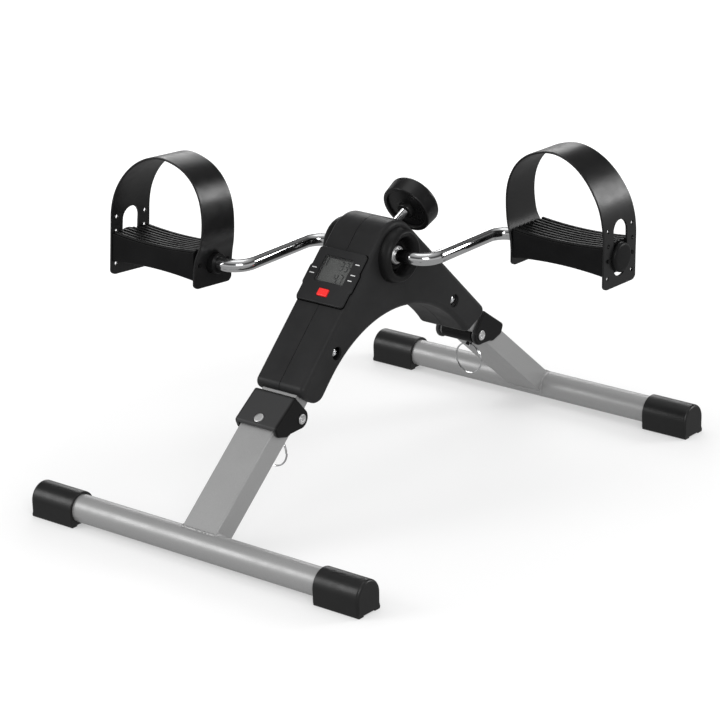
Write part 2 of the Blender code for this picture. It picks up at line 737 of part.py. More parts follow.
def pedal_fittings(label, hand, carrier, crank_body):
    """The end cap, the flanged bush and the clip on the spindle's end."""
    y = hand * CRANK_R
    start = (0, y, HUB_Z)
    end = (hand, y, HUB_Z)
    cap = [(0, 0.1968), (0.0122, 0.1968), (CAP_R, 0.1955), (CAP_R, 0.1931), (NECK_R, 0.1931),
           (NECK_R, 0.1866), (0, 0.1866)]
    finish(turned("pedal_cap_" + label, cap, start, end), BLACK_PLASTIC, carrier)
    bush = ring_profile(BUSH_R, ROD_R + GAP, 0.0846, 0.1004)
    finish(turned("pedal_bush_" + label, bush, start, end), BLACK_PLASTIC, carrier)
    clip = ring_profile(0.0088, ROD_R + GAP, 0.1820, 0.1832)
    finish(turned("spindle_clip_" + label, clip, start, end, 24), STEEL, crank_body)


def pedals(crank_body):
    for label, hand in (("left", -1), ("right", 1)):
        middle = (hand * (PEDAL_IN + PEDAL_OUT) / 2, hand * CRANK_R, HUB_Z)
        carrier = body("pedal_" + label, middle)
        carrier.parent = crank_body
        carrier.matrix_parent_inverse = crank_body.matrix_world.inverted()
        pedal_body("pedal_body_" + label, hand, carrier)
        strap("foot_strap_" + label, hand, carrier)
        pedal_fittings(label, hand, carrier, crank_body)
        centre = Matrix.Translation(middle)
        turn = centre @ Matrix.Rotation(PEDAL_TILT[label], 4, "X") @ centre.inverted()
        for piece in carrier.children:
            piece.data.transform(turn)


# Knuckles

def from_pivot(side, up, out):
    """(Y, Z) of a point so far up the slope from a pivot and so far out from it."""
    y = PIVOT[0] - up * cos(SLOPE) + out * sin(SLOPE)
    return side * y, PIVOT[1] + up * sin(SLOPE) + out * cos(SLOPE)


def hinge_block(name, side):
    """The lug in the frame tube's end that turns on the hinge pin."""
    lug = [from_pivot(side, BLOCK_R * cos(radians(a)), BLOCK_R * sin(radians(a)))
           for a in range(-10, -281, -15)]
    tang = [from_pivot(side, 0.0078, 0.0132), from_pivot(side, 0.0220, 0.0132),
            from_pivot(side, 0.0220, 0.0002), from_pivot(side, 0.0078, 0.0002)]
    pivot = (side * PIVOT[0], PIVOT[1])
    hole = circle(pivot, PIN_R + GAP)
    finish(outline(name, [lug + tang, hole], -0.0166, 0.0166), DARK_STEEL)


def plate_point(down):
    """A point at positive Y on the knuckle's outer face, at this Y."""
    (y1, z1, _), (y2, z2, _) = KNUCKLE_CORNERS[:2]
    return down, z1 + (down - y1) * (z2 - z1) / (y2 - y1)


def plate_normal(side):
    (y1, z1, _), (y2, z2, _) = KNUCKLE_CORNERS[:2]
    length = hypot(y2 - y1, z2 - z1)
    return Vector((0, side * (z1 - z2) / length, (y2 - y1) / length))


def knuckle(name, side):
    """The joint cover: an outer plate and two cheeks, open below for the leg."""
    shell = outline(name, [side_points(knuckle_outline(), side)], -KNUCKLE_HALF, KNUCKLE_HALF)
    near = Vector(plate_point(0.110))
    far = Vector(plate_point(0.190))
    down = Vector((far.y - near.y, near.x - far.x)).normalized()
    deep = 0.070
    quad = [near + down * KNUCKLE_PLATE, near + down * deep, far + down * deep, far + down * KNUCKLE_PLATE]
    room = LEG_HALF + 0.0006
    cut(shell, outline(name + "_inside", [side_points([tuple(p) for p in quad], side)], -room, room))
    pivot = (side * PIVOT[0], PIVOT[1])
    cut(shell, rod(name + "_pin", (-0.030, *pivot), (0.030, *pivot), PIN_R + GAP))
    spot = lock_point(side, 0)
    normal = plate_normal(side)
    cut(shell, rod(name + "_keeper", spot - normal * 0.006, spot + normal * 0.006, 0.0050))
    finish(as_mesh(shell), BLACK_PLASTIC)


def lock_keeper(name, side):
    """The steel disc in the knuckle that the lock pin's tip seats in."""
    profile = [(0, 0.0007), (0.0030, 0.0006), (0.0046, 0.0001), (0.0046, -0.0024), (0.0040, -0.0026),
               (0.0012, -0.0011), (0, -0.0011)]
    spot = lock_point(side, 0)
    finish(turned(name, profile, spot, spot + plate_normal(side), 24), STEEL)


def hinge_pin(name, side):
    """A hinge pin with riveted ends."""
    profile = [(0, 0.0248), (0.0034, 0.0248), (0.0046, 0.0242), (0.0046, 0.0235), (PIN_R, 0.0235),
               (PIN_R, -0.0235), (0.0046, -0.0235), (0.0046, -0.0242), (0.0034, -0.0248), (0, -0.0248)]
    start = (0, side * PIVOT[0], PIVOT[1])
    finish(turned(name, profile, start, (1, start[1], start[2]), 24), CHROME)


# Legs

def leg_point(side, down, out):
    """(Y, Z) of a point so far down the leg from its pivot and so far out, as an offset from the floor."""
    start = PIVOT[0] * cos(LEG_SLOPE) - PIVOT[1] * sin(LEG_SLOPE)
    y = out * sin(LEG_SLOPE) + (start + down) * cos(LEG_SLOPE)
    return side * y, out * cos(LEG_SLOPE) - (start + down) * sin(LEG_SLOPE)


def lock_point(side, depth):
    """A point on the lock pin's axis, this deep under the knuckle's outer face."""
    y, z = plate_point(LOCK_Y)
    return Vector((0, side * (y - depth * sin(LEG_SLOPE)), z - depth * cos(LEG_SLOPE)))


def leg_tube(name, side, carrier):
    """The rectangular leg, whose side walls end in ears on the hinge pin."""
    level = PIVOT[0] * sin(LEG_SLOPE) + PIVOT[1] * cos(LEG_SLOPE)
    end = (BAR_Y - PIVOT[0]) * cos(LEG_SLOPE) + (PIVOT[1] - BAR_Z) * sin(LEG_SLOPE) - 0.004
    ear = [leg_point(side, EAR_R * cos(radians(a)), level + EAR_R * sin(radians(a)))
           for a in range(-10, -256, -15)]
    shape = ear + [leg_point(side, LEG_TOP, LEG_OUTER), leg_point(side, end, LEG_OUTER),
                   leg_point(side, end, LEG_INNER)]
    tube = outline(name, [shape], -LEG_HALF, LEG_HALF)
    room = LEG_HALF - LEG_WALL
    low = LEG_INNER + LEG_WALL
    high = LEG_OUTER - LEG_WALL
    inside = [leg_point(side, -0.022, 0.145), leg_point(side, 0.0088, 0.145), leg_point(side, 0.0088, low),
              leg_point(side, 0.160, low), leg_point(side, 0.160, high),
              leg_point(side, LEG_TOP + 0.0001, high), leg_point(side, LEG_TOP - 0.004, 0.190),
              leg_point(side, -0.022, 0.190)]
    cut(tube, outline(name + "_inside", [inside], -room, room))
    pivot = (side * PIVOT[0], PIVOT[1])
    cut(tube, rod(name + "_pin", (-0.030, *pivot), (0.030, *pivot), PIN_R + GAP))
    cut(tube, rod(name + "_lock", lock_point(side, -0.002), lock_point(side, 0.034), LOCK_R + 0.0004))
    bar = (side * BAR_Y, BAR_Z)
    cut(tube, rod(name + "_cope", (-0.030, *bar), (0.030, *bar), BAR_R + GAP, 48))
    finish(as_mesh(tube), PAINT, carrier)


def foot_bar(name, side, carrier):
    centre = (side * BAR_Y, BAR_Z)
    half = BAR_LENGTH / 2 - 0.0028
    loops = [circle(centre, BAR_R, 40), circle(centre, BAR_R - TUBE_WALL, 40)]
    finish(outline(name, loops, -half, half), PAINT, carrier)


def end_cap(name, side, hand, carrier):
    """A D-shaped cap over the foot bar's end, flat where it stands on the floor."""
    centre = (side * BAR_Y, BAR_Z)
    half_foot = [(0.0125, 0), (0.0137, 0.0012), (0.0143, 0.004)]
    foot = [(side * BAR_Y + y, z) for y, z in mirrored(half_foot) + half_foot]
    shape = arc(centre, CAP_WALL_R, 0, 180, 18) + foot
    low, high = sorted((hand * (BAR_LENGTH / 2 - CAP_LENGTH), hand * BAR_LENGTH / 2))
    cap = outline(name, [shape], low, high)
    bm = bmesh.new()
    bm.from_mesh(cap.data)
    tip = BAR_LENGTH / 2 - 0.00001
    rim = [e for e in bm.edges if all(abs(v.co.x) > tip for v in e.verts)]
    rim = [e for e in rim if any(abs(f.normal.x) < 0.5 for f in e.link_faces)]
    rim = [e for e in rim if any(v.co.z > 0.003 for v in e.verts)]
    bmesh.ops.bevel(bm, geom=rim, offset=0.0025, segments=2, profile=0.5, affect="EDGES",
                    clamp_overlap=False)
    bm.to_mesh(cap.data)
    bm.free()
    start = hand * (BAR_LENGTH / 2 - CAP_LENGTH - 0.002)
    stop = hand * (BAR_LENGTH / 2 - 0.0024)
    cut(cap, rod(name + "_bore", (start, *centre), (stop, *centre), BAR_R + GAP, 40))
    finish(as_mesh(cap), BLACK_PLASTIC, carrier)


def lock(label, side, leg):
    """The lock pin with its spring inside the leg, and its pull ring."""
    carrier = body("lock_" + label, lock_point(side, 0))
    carrier.parent = leg
    carrier.matrix_parent_inverse = leg.matrix_world.inverted()
    profile = [(0, LOCK_TAIL + 0.0027), (LOCK_R, LOCK_TAIL + 0.0027), (LOCK_R, 0.0098), (0.0050, 0.0098),
               (0.0050, 0.0085), (LOCK_R, 0.0085), (LOCK_R, 0.0042), (0.0009, 0.0018), (0, 0.0018)]
    pin = turned("lock_pin_" + label, profile, lock_point(side, 0), lock_point(side, 1), 24)
    hole = lock_point(side, LOCK_TAIL)
    across = Vector((0.01, 0, 0))
    cut(pin, rod(f"ring_hole_{label}", hole - across, hole + across, RING_HOLE_R, 16))
    finish(as_mesh(pin), CHROME, carrier)

    turns = 4
    steps = 12
    matrix = along(lock_point(side, 0), lock_point(side, 1))
    coil = []
    for i in range(turns * steps + 1):
        angle = 2 * pi * i / steps
        depth = COIL_DEPTHS[0] + (COIL_DEPTHS[1] - COIL_DEPTHS[0]) * i / (turns * steps)
        coil.append(matrix @ Vector((COIL_R * cos(angle), COIL_R * sin(angle), depth)))
    finish(wire("lock_spring_" + label, coil, COIL_WIRE, 1), STEEL, leg)

    swing = body("ring_" + label, hole)
    swing.parent = carrier
    swing.matrix_parent_inverse = carrier.matrix_world.inverted()
    centre = hole - Vector((0, 0, RING_MAJOR))
    bpy.ops.mesh.primitive_torus_add(major_radius=RING_MAJOR, minor_radius=RING_WIRE, major_segments=40,
                                     minor_segments=8, location=centre, rotation=(pi / 2, 0, 0))
    ring = bpy.context.active_object
    for collection in list(ring.users_collection):
        collection.objects.unlink(ring)
    PARTS.objects.link(ring)
    ring.name = "pull_ring_" + label
    finish(as_mesh(ring), CHROME, swing)


def legs():
    for label, side in (("front", FRONT), ("rear", REAR)):
        carrier = body("leg_" + label, (0, side * PIVOT[0], PIVOT[1]))
        leg_tube("leg_tube_" + label, side, carrier)
        foot_bar("foot_bar_" + label, side, carrier)
        for end, hand in (("left", -1), ("right", 1)):
            end_cap(f"end_cap_{label}_{end}", side, hand, carrier)
        lock(label, side, carrier)


def frame():
    for label, hand in (("left", -1), ("right", 1)):
        housing_shell("housing_" + label, hand)
        hub_ring("hub_ring_" + label, hand)
        bearing("bearing_" + label, hand)
        hub_plate("hub_plate_" + label, hand)
    for label, side in (("front", FRONT), ("rear", REAR)):
        frame_tube("frame_tube_" + label, side)
        housing_screw("housing_screw_" + label, side)
        hinge_block("hinge_block_" + label, side)
        knuckle("knuckle_" + label, side)
        lock_keeper("lock_keeper_" + label, side)
        hinge_pin("hinge_pin_" + label, side)
    display()
    count_sensor()
    tension_nut()


def build():
    frame()
    push_button()
    crank_body = body("crank", (0, 0, HUB_Z))
    crank("crank_left", -1, crank_body)
    crank("crank_right", 1, crank_body)
    brake_drum(crank_body)
    tension_knob(brake())
    pedals(crank_body)
    legs()


build()
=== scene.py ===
"""The looks of the folding pedal exerciser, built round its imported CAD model.

All lengths are in metres, in the CAD model's own frame: X runs along the crank, Y from the display
side to the knob side, and Z up from the floor. A side is -1 for the front leg and 1 for the rear one;
a hand is -1 for the left pedal and 1 for the right one.
"""
from math import asin, cos, hypot, pi, radians, sin, sqrt

import bmesh
import bpy
from mathutils import Matrix, Vector, noise

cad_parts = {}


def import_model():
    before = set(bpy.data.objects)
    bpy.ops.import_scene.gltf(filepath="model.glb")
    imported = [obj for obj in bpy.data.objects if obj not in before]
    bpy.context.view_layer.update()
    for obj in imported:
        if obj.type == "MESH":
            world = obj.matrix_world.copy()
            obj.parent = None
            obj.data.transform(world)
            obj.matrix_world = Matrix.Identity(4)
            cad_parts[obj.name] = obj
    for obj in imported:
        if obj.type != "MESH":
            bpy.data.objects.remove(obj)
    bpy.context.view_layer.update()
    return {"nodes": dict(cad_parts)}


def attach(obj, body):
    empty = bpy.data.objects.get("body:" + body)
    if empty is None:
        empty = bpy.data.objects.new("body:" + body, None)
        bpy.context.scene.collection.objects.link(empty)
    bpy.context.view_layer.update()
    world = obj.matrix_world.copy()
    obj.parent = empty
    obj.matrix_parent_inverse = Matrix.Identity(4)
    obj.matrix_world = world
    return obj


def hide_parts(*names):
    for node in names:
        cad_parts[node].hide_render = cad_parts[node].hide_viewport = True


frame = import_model()
nodes = frame["nodes"]

GAP = 0.0003
FRONT = -1
REAR = 1
SIDES = (("front", FRONT), ("rear", REAR))
HANDS = (("left", -1), ("right", 1))

# Hub, housing and display, as in the CAD model
HUB_Z = 0.214
SLOPE = radians(44.7)
HOUSING_HALF = 0.0274
HOUSING_WALL = 0.0026
DOME_R = 0.0308
ARCH_R = 0.1283
ARCH_Z = 0.034
HOUSING_TOE = (0.136, 0.1227, 0.007)
REAR_HEEL = (0.104, 0.1085, 0.008)
FRONT_HEEL = (0.110, 0.1045, 0.012)
ARCH_REACH = {FRONT: 0.092, REAR: 0.0995}
ROUND_EDGE = 0.0048
SCREW_YZ = (0.085, 0.1466)
SCREW_HOLE_R = 0.0061
HUB_HOLE_R = 0.0164
DISPLAY_S = 0.0473
DISPLAY_LENGTH = 0.0536
DISPLAY_FACE = 0.0335
DISPLAY_BACK = 0.0262
PLATE_BACK = 0.0311
TUB = (0.040, 0.0452)
TUB_WALL = 0.0012
TUB_FLOOR = 0.001
WINDOW = (0.032, 0.026)
WINDOW_UP = 0.0063
BUTTON = (0.0112, 0.0074)
BUTTON_DOWN = 0.0166
BUTTON_TOP = 0.0347
BUTTON_THICK = 0.0043
DIGIT_WIDE = 0.0034
DIGIT_HIGH = 0.0086
DIGIT_BAR = 0.0011

# Hub rings, crank and tension knob
RING_OUT = 0.025
RING_IN = 0.0158
RING_FACE = 0.038
ROD_R = 0.006
CRANK_R = 0.1077
CRANK_X = 0.0624
CRANK_BEND = 0.018
CRANK_END = 0.184
SCREW_LEAN = radians(65)
SCREW_R = 0.0035
SCREW_FROM = 0.0208
SCREW_TO = 0.0655
THREAD_DEEP = 0.0004
THREAD_TURNS = 44
KNOB_R = 0.0252
KNOB_BACK = 0.0554
KNOB_THICK = 0.018

# Pedals
PEDAL_IN = 0.0945
PEDAL_OUT = 0.1903
PEDAL_HALF = 0.024
PEDAL_UP = 0.014
PEDAL_SAG = 0.0028
RIBS = 8
RIB_DEEP = 0.0018
PEDAL_TILT = {"left": radians(-5), "right": radians(-1.5)}
STRAP_THICK = 0.002
STRAP_PATH = [
    (0.0930, -0.0210), (0.0930, -0.0060), (0.0915, 0.0060), (0.0874, 0.0190), (0.0859, 0.0350),
    (0.0868, 0.0490), (0.0905, 0.0620), (0.0980, 0.0740), (0.1090, 0.0828), (0.1220, 0.0878),
    (0.1355, 0.0897), (0.1490, 0.0871), (0.1617, 0.0808), (0.1724, 0.0717), (0.1809, 0.0607),
    (0.1872, 0.0482), (0.1906, 0.0345), (0.1917, 0.0200), (0.1917, 0.0000), (0.1917, -0.0260),
]
STRAP_WIDTHS = [0.0503, 0.0503, 0.0490, 0.0445, 0.0425, 0.0418, 0.0410, 0.0403, 0.0400, 0.0402,
                0.0410, 0.0422, 0.0437, 0.0455, 0.0473, 0.0488, 0.0500, 0.0503, 0.0503, 0.0503]
STRAP_LEANS = [0, 0, 0.0003, 0.0012, 0.0020, 0.0027, 0.0032, 0.0037, 0.0040, 0.0042,
               0.0043, 0.0042, 0.0040, 0.0036, 0.0030, 0.0020, 0.0010, 0, 0, 0]
PLATE_CORNER = 0.006
BUSH_R = 0.0095
NECK_R = 0.0093
CAP_R = 0.0135
PEG_R = 0.0017
PEG_Y = 0.0185
PEG_SPANS = ((0.186, 0.1940), (0.0908, 0.098))
OUTER_PEG_HOLES = (-0.016, 0.0, 0.0135, 0.027)
CAP_SLOT = (-0.0068, 0.0235)
INNER_PEG_HOLES = (0.0,)

# Legs
LEG_SLOPE = radians(40.7)
LEG_HALF = 0.019
LEG_OUTER = 0.1795
LEG_INNER = 0.1589
PIVOT = (0.1304, 0.099)
BAR_Y = 0.243
BAR_Z = 0.0148
BAR_R = 0.0127
BAR_LENGTH = 0.370
CAP_LENGTH = 0.048
CAP_WALL_R = 0.0152
CAP_WALL = 0.0024
TUBE_WALL = 0.0015
BEAD_R = 0.0015
BEAD_STEP = 0.0008
BEAD_WOBBLE = 0.0007
STUB_OUTER = 0.0254
STUB_INNER = 0.0079
KNUCKLE_HALF = 0.0232
KNUCKLE_CORNERS = [(0.136, 0.1215), (0.1661, 0.10006)]
PIN_R = 0.003
LOCK_Y = 0.160
LOCK_TAIL = 0.028
RING_MAJOR = 0.0145
RING_WIRE = 0.0007
RING_SPREAD = 0.0012


# Materials

class Shader:
    """A Principled material with short ways to add procedural detail in object space."""

    def __init__(self, name, colour, roughness, metallic=0.0, **sockets):
        self.material = bpy.data.materials.new(name)
        self.material.use_nodes = True
        self.tree = self.material.node_tree
        self.base = self.tree.nodes["Principled BSDF"]
        self.base.inputs["Base Color"].default_value = (*colour, 1)
        self.base.inputs["Roughness"].default_value = roughness
        self.base.inputs["Metallic"].default_value = metallic
        for socket, value in sockets.items():
            self.base.inputs[socket.replace("_", " ")].default_value = value
        self.coords = self.tree.nodes.new("ShaderNodeTexCoord")

    def node(self, kind, **values):
        made = self.tree.nodes.new(kind)
        for key, value in values.items():
            made.inputs[key.replace("_", " ")].default_value = value
        return made

    def link(self, source, target):
        self.tree.links.new(source, target)

    def noise(self, size, detail=2.0, stretch=(1, 1, 1)):
        """Noise whose features are about this size in metres."""
        scale = self.tree.nodes.new("ShaderNodeMapping")
        scale.inputs["Scale"].default_value = [s / size for s in stretch]
        self.link(self.coords.outputs["Object"], scale.inputs["Vector"])
        texture = self.node("ShaderNodeTexNoise", Scale=1.0, Detail=detail, Roughness=0.55)
        self.link(scale.outputs["Vector"], texture.inputs["Vector"])
        return texture.outputs["Fac"]

    def spread(self, value, low, high, from_low=0.3, from_high=0.7):
        """Map a value between the two from_ levels to between low and high."""
        ramp = self.node("ShaderNodeMapRange", **{"From_Min": from_low, "From_Max": from_high,
                                                  "To_Min": low, "To_Max": high})
        self.link(value, ramp.inputs["Value"])
        return ramp.outputs["Result"]

    def vary_roughness(self, value, low, high):
        self.link(self.spread(value, low, high), self.base.inputs["Roughness"])
        return self

    def vary_colour(self, value, first, second, low=0.3, high=0.7):
        mix = self.tree.nodes.new("ShaderNodeMix")
        mix.data_type = "RGBA"
        mix.inputs[6].default_value = (*first, 1)
        mix.inputs[7].default_value = (*second, 1)
        self.link(self.spread(value, 0, 1, low, high), mix.inputs[0])
        self.link(mix.outputs[2], self.base.inputs["Base Color"])
        return self

    def bump(self, value, height, strength=1.0):
        bump = self.node("ShaderNodeBump", Strength=strength, Distance=height)
        self.link(value, bump.inputs["Height"])
        previous = self.base.inputs["Normal"]
        if previous.is_linked:
            self.link(previous.links[0].from_socket, bump.inputs["Normal"])
        self.link(bump.outputs["Normal"], previous)
        return self


def plastic(name, colour, roughness, shine=0.3, grain=0.0005, depth=0.00003, spread=0.05):
    """Moulded plastic with a fine spark-eroded grain and faint uneven gloss."""
    shade = Shader(name, colour, roughness, Specular_IOR_Level=shine)
    lighter = [c * 1.25 + 0.001 for c in colour]
    shade.vary_colour(shade.noise(0.03, 3), colour, lighter)
    shade.vary_roughness(shade.noise(0.012, 4), roughness - spread, roughness + spread)
    shade.bump(shade.noise(grain, 2), depth)
    return shade.material


# How far from a knuckle's middle its colour changes from the plate's charcoal to the cheeks' painted shade
CHEEK_SHADE_X = (0.0205, 0.0226)


def knuckle_nylon_shaded_cheeks():
    """Charcoal on the outer plate, and the two cheeks of the same moulding painted nearly black as shade.
    """
    shade = Shader("knuckle_nylon_shaded_cheeks", (0.03, 0.03, 0.0305), 0.38, Specular_IOR_Level=0.25)
    split = shade.tree.nodes.new("ShaderNodeSeparateXYZ")
    shade.link(shade.coords.outputs["Object"], split.inputs[0])
    away = shade.tree.nodes.new("ShaderNodeMath")
    away.operation = "ABSOLUTE"
    shade.link(split.outputs["X"], away.inputs[0])
    # The cheeks' near-black is painted shade on one moulding, set against the plate's charcoal
    shade.vary_colour(away.outputs[0], (0.037, 0.037, 0.0375), (0.003, 0.003, 0.0032), *CHEEK_SHADE_X)
    shade.bump(shade.noise(0.0006, 2), 0.000012)
    return shade.material


def paint(name, colour):
    """Silver-grey powder coat: fine metallic sparkle under a slight orange peel."""
    shade = Shader(name, colour, 0.42, 0.5, Specular_IOR_Level=0.5)
    shade.vary_colour(shade.noise(0.0007, 3), [c * 0.93 for c in colour], [c * 1.06 for c in colour])
    shade.vary_roughness(shade.noise(0.02, 3), 0.38, 0.46)
    shade.bump(shade.noise(0.0016, 1), 0.00002, 0.6)
    return shade.material


def chrome(name):
    shade = Shader(name, (0.80, 0.805, 0.81), 0.10, 1.0)
    shade.vary_roughness(shade.noise(0.008, 4), 0.08, 0.14)
    shade.bump(shade.noise(0.01, 2), 0.00001, 0.4)
    return shade.material


def steel(name, colour, roughness):
    shade = Shader(name, colour, roughness, 1.0)
    shade.vary_colour(shade.noise(0.002, 3), [c * 0.85 for c in colour], colour)
    shade.vary_roughness(shade.noise(0.001, 4, (0.1, 1, 1)), roughness - 0.08, roughness + 0.1)
    shade.bump(shade.noise(0.0004, 2, (0.1, 1, 1)), 0.00001)
    return shade.material


# Each look is a material and the record's slot that it belongs to
LOOKS = {
    "housing": (plastic("housing_abs", (0.0145, 0.0145, 0.0149), 0.42, 0.2, 0.0006, 0.000012),
                "charcoal_housing"),
    "display": (plastic("display_abs", (0.0165, 0.0165, 0.0170), 0.38, 0.2, 0.0005, 0.000008),
                "black_plastic"),
    # Near-black that paints shadow lines under the face plate's edge and in the window's recess
    "shade_black": (plastic("painted_shadow_black", (0.001, 0.001, 0.001), 0.7, 0.02), "black_plastic"),
    "mark": (plastic("printed_mark", (0.55, 0.55, 0.55), 0.45), "black_plastic"),
    "clear": (Shader("clear_window", (0.5, 0.5, 0.5), 0.08, Alpha=0.04, Specular_IOR_Level=0.05).material,
              "clear_window"),
    "lcd": (plastic("lcd_glass_grey", (0.054, 0.056, 0.054), 0.35, 0.08), "lcd_grey"),
    "segment": (plastic("lcd_segment", (0.010, 0.011, 0.011), 0.35, 0.08), "lcd_grey"),
    "red": (plastic("red_button_plastic", (0.74, 0.018, 0.016), 0.35, 0.4, 0.0005, 0.00001), "red_plastic"),
    "board": (plastic("board_lacquer", (0.010, 0.10, 0.035), 0.30), "board_green"),
    "rim": (plastic("hub_ring_plastic", (0.006, 0.006, 0.0062), 0.42, 0.22, 0.0005, 0.00001),
            "black_plastic"),
    "knob": (plastic("knob_plastic", (0.0045, 0.0045, 0.0047), 0.30, 0.38, 0.0005, 0.000008),
             "black_plastic"),
    "black": (plastic("black_nylon", (0.0045, 0.0045, 0.0047), 0.40, 0.17, 0.0005, 0.00001),
              "black_plastic"),
    "knuckle": (knuckle_nylon_shaded_cheeks(), "black_plastic"),
    "pedal": (plastic("pedal_moulding", (0.0045, 0.0045, 0.0047), 0.42, 0.09, 0.0006, 0.00001),
              "black_plastic"),
    "strap": (plastic("strap_plastic", (0.005, 0.005, 0.0052), 0.33, 0.46, 0.0009, 0.000004),
              "strap_plastic"),
    "rubbery": (plastic("end_cap_plastic", (0.0035, 0.0035, 0.0036), 0.37, 0.55, 0.0008, 0.000014),
                "black_plastic"),
    "paint": (paint("silver_grey_powder_coat", (0.37, 0.37, 0.37)), "satin_grey_paint"),
    "chrome": (chrome("chrome_plate"), "chrome"),
    "zinc": (steel("bright_zinc", (0.90, 0.90, 0.90), 0.42), "chrome"),
    "steel": (steel("zinc_plated_steel", (0.60, 0.60, 0.61), 0.28), "plain_steel"),
    "dark_steel": (steel("oiled_dark_steel", (0.09, 0.09, 0.095), 0.38), "dark_steel"),
}

# The look of each CAD solid, by how its name starts; any other is plain steel
NODE_LOOKS = {
    "housing_left": "housing", "housing_right": "housing", "display_case": "display",
    "display_window": "clear", "lcd_panel": "lcd", "circuit_board": "board", "reset_button": "red",
    "foot_strap": "strap", "frame_tube": "paint", "leg_tube": "paint", "foot_bar": "paint",
    "crank_": "chrome", "hinge_pin": "chrome", "lock_pin": "chrome", "pull_ring": "chrome",
    "housing_screw": "chrome", "end_cap": "rubbery", "hinge_block": "black", "brake_shoe": "dark_steel",
    "count_magnet": "dark_steel", "knuckle": "black", "pedal_": "black", "hub_ring": "rim",
    "tension_knob": "black", "count_sensor": "black",
}


def look_of(name):
    for start, look in NODE_LOOKS.items():
        if name.startswith(start):
            return LOOKS[look][0]
    return LOOKS["steel"][0]


for name, node in nodes.items():
    node.data.materials.clear()
    node.data.materials.append(look_of(name))


# Meshes

def mesh_from(bm, matrix=None):
    mesh = bpy.data.meshes.new("piece")
    bmesh.ops.recalc_face_normals(bm, faces=bm.faces)
    bm.to_mesh(mesh)
    bm.free()
    if matrix:
        mesh.transform(matrix)
    return mesh


def piece(name, mesh, look, body, *stands_for, angle=35):
    """A finished piece of the looks, on one of the CAD model's bodies."""
    obj = bpy.data.objects.new(name, mesh)
    bpy.context.scene.collection.objects.link(obj)
    material, slot = LOOKS[look]
    mesh.materials.clear()
    mesh.materials.append(material)
    mesh.shade_smooth()
    mesh.set_sharp_from_angle(angle=radians(angle))
    normals = obj.modifiers.new("normals", "WEIGHTED_NORMAL")
    normals.keep_sharp = True
    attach(obj, body)
    if stands_for:
        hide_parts(*stands_for)
    return obj


def combined(base, tools, operation="DIFFERENCE"):
    """The mesh left when the tools are cut from the base, or joined to it."""
    made = [bpy.data.objects.new("tool", mesh) for mesh in [base] + list(tools)]
    for obj in made:
        bpy.context.scene.collection.objects.link(obj)
    for tool in made[1:]:
        modifier = made[0].modifiers.new("cut", "BOOLEAN")
        modifier.operation = operation
        modifier.solver = "EXACT"
        modifier.object = tool
    bpy.context.view_layer.update()
    graph = bpy.context.evaluated_depsgraph_get()
    mesh = bpy.data.meshes.new_from_object(made[0].evaluated_get(graph))
    for obj in made:
        bpy.data.objects.remove(obj)
    return mesh


def box(size, centre=(0, 0, 0), matrix=None, soften=0.0, segments=4):
    bm = bmesh.new()
    bmesh.ops.create_cube(bm, size=1)
    bmesh.ops.scale(bm, vec=size, verts=bm.verts)
    if soften:
        bmesh.ops.bevel(bm, geom=bm.edges[:], offset=soften, segments=segments, profile=0.5, affect="EDGES")
    bmesh.ops.translate(bm, vec=centre, verts=bm.verts)
    return mesh_from(bm, matrix)


def along(start, end):
    """The matrix that takes local Z from start towards end."""
    start = Vector(start)
    direction = Vector(end) - start
    return Matrix.Translation(start) @ direction.to_track_quat("Z", "Y").to_matrix().to_4x4()


def rod(start, end, radius, sides=48):
    length = (Vector(end) - Vector(start)).length
    bm = bmesh.new()
    bmesh.ops.create_cone(bm, cap_ends=True, segments=sides, radius1=radius, radius2=radius, depth=length)
    bmesh.ops.translate(bm, vec=(0, 0, length / 2), verts=bm.verts)
    return mesh_from(bm, along(start, end))


def turned(profile, start, end, sides=72):
    """A turned solid from (radius, height) points; it closes on itself if it doesn't reach the axis."""
    bm = bmesh.new()
    rings = []
    for radius, height in profile:
        count = sides if radius > 0 else 1
        spokes = [2 * pi * k / count for k in range(count)]
        rings.append([bm.verts.new((radius * cos(a), radius * sin(a), height)) for a in spokes])
    pairs = list(zip(rings, rings[1:]))
    if profile[0][0] > 0:
        pairs.append((rings[-1], rings[0]))
    for first, second in pairs:
        if len(first) == len(second) == 1:
            continue
        for k in range(sides):
            after = (k + 1) % sides
            corners = [first[k % len(first)], first[after % len(first)],
                       second[after % len(second)], second[k % len(second)]]
            bm.faces.new(list(dict.fromkeys(corners)))
    return mesh_from(bm, along(start, end))


def extruded(loops, low, high, matrix=None):
    """A flat outline, with holes where loops lie inside it, extruded; matrix takes local Z to its axis."""
    curve = bpy.data.curves.new("outline", "CURVE")
    curve.dimensions = "2D"
    curve.fill_mode = "BOTH"
    curve.extrude = (high - low) / 2
    for loop in loops:
        spline = curve.splines.new("POLY")
        spline.points.add(len(loop) - 1)
        for point, (a, b) in zip(spline.points, loop):
            point.co = (a, b, 0, 1)
        spline.use_cyclic_u = True
    obj = bpy.data.objects.new("outline", curve)
    bpy.context.scene.collection.objects.link(obj)
    bpy.context.view_layer.update()
    raw = bpy.data.meshes.new_from_object(obj.evaluated_get(bpy.context.evaluated_depsgraph_get()))
    bpy.data.objects.remove(obj)
    bm = bmesh.new()
    bm.from_mesh(raw)
    bmesh.ops.remove_doubles(bm, verts=bm.verts, dist=0.000002)
    bmesh.ops.dissolve_limit(bm, angle_limit=0.0005, verts=bm.verts, edges=bm.edges)
    bmesh.ops.translate(bm, vec=(0, 0, (low + high) / 2), verts=bm.verts)
    return mesh_from(bm, ACROSS if matrix is None else matrix)


# Takes an outline given in (Y, Z) to the YZ plane, with its extrusion along X
ACROSS = Matrix(((0, 0, 1, 0), (1, 0, 0, 0), (0, 1, 0, 0), (0, 0, 0, 1)))


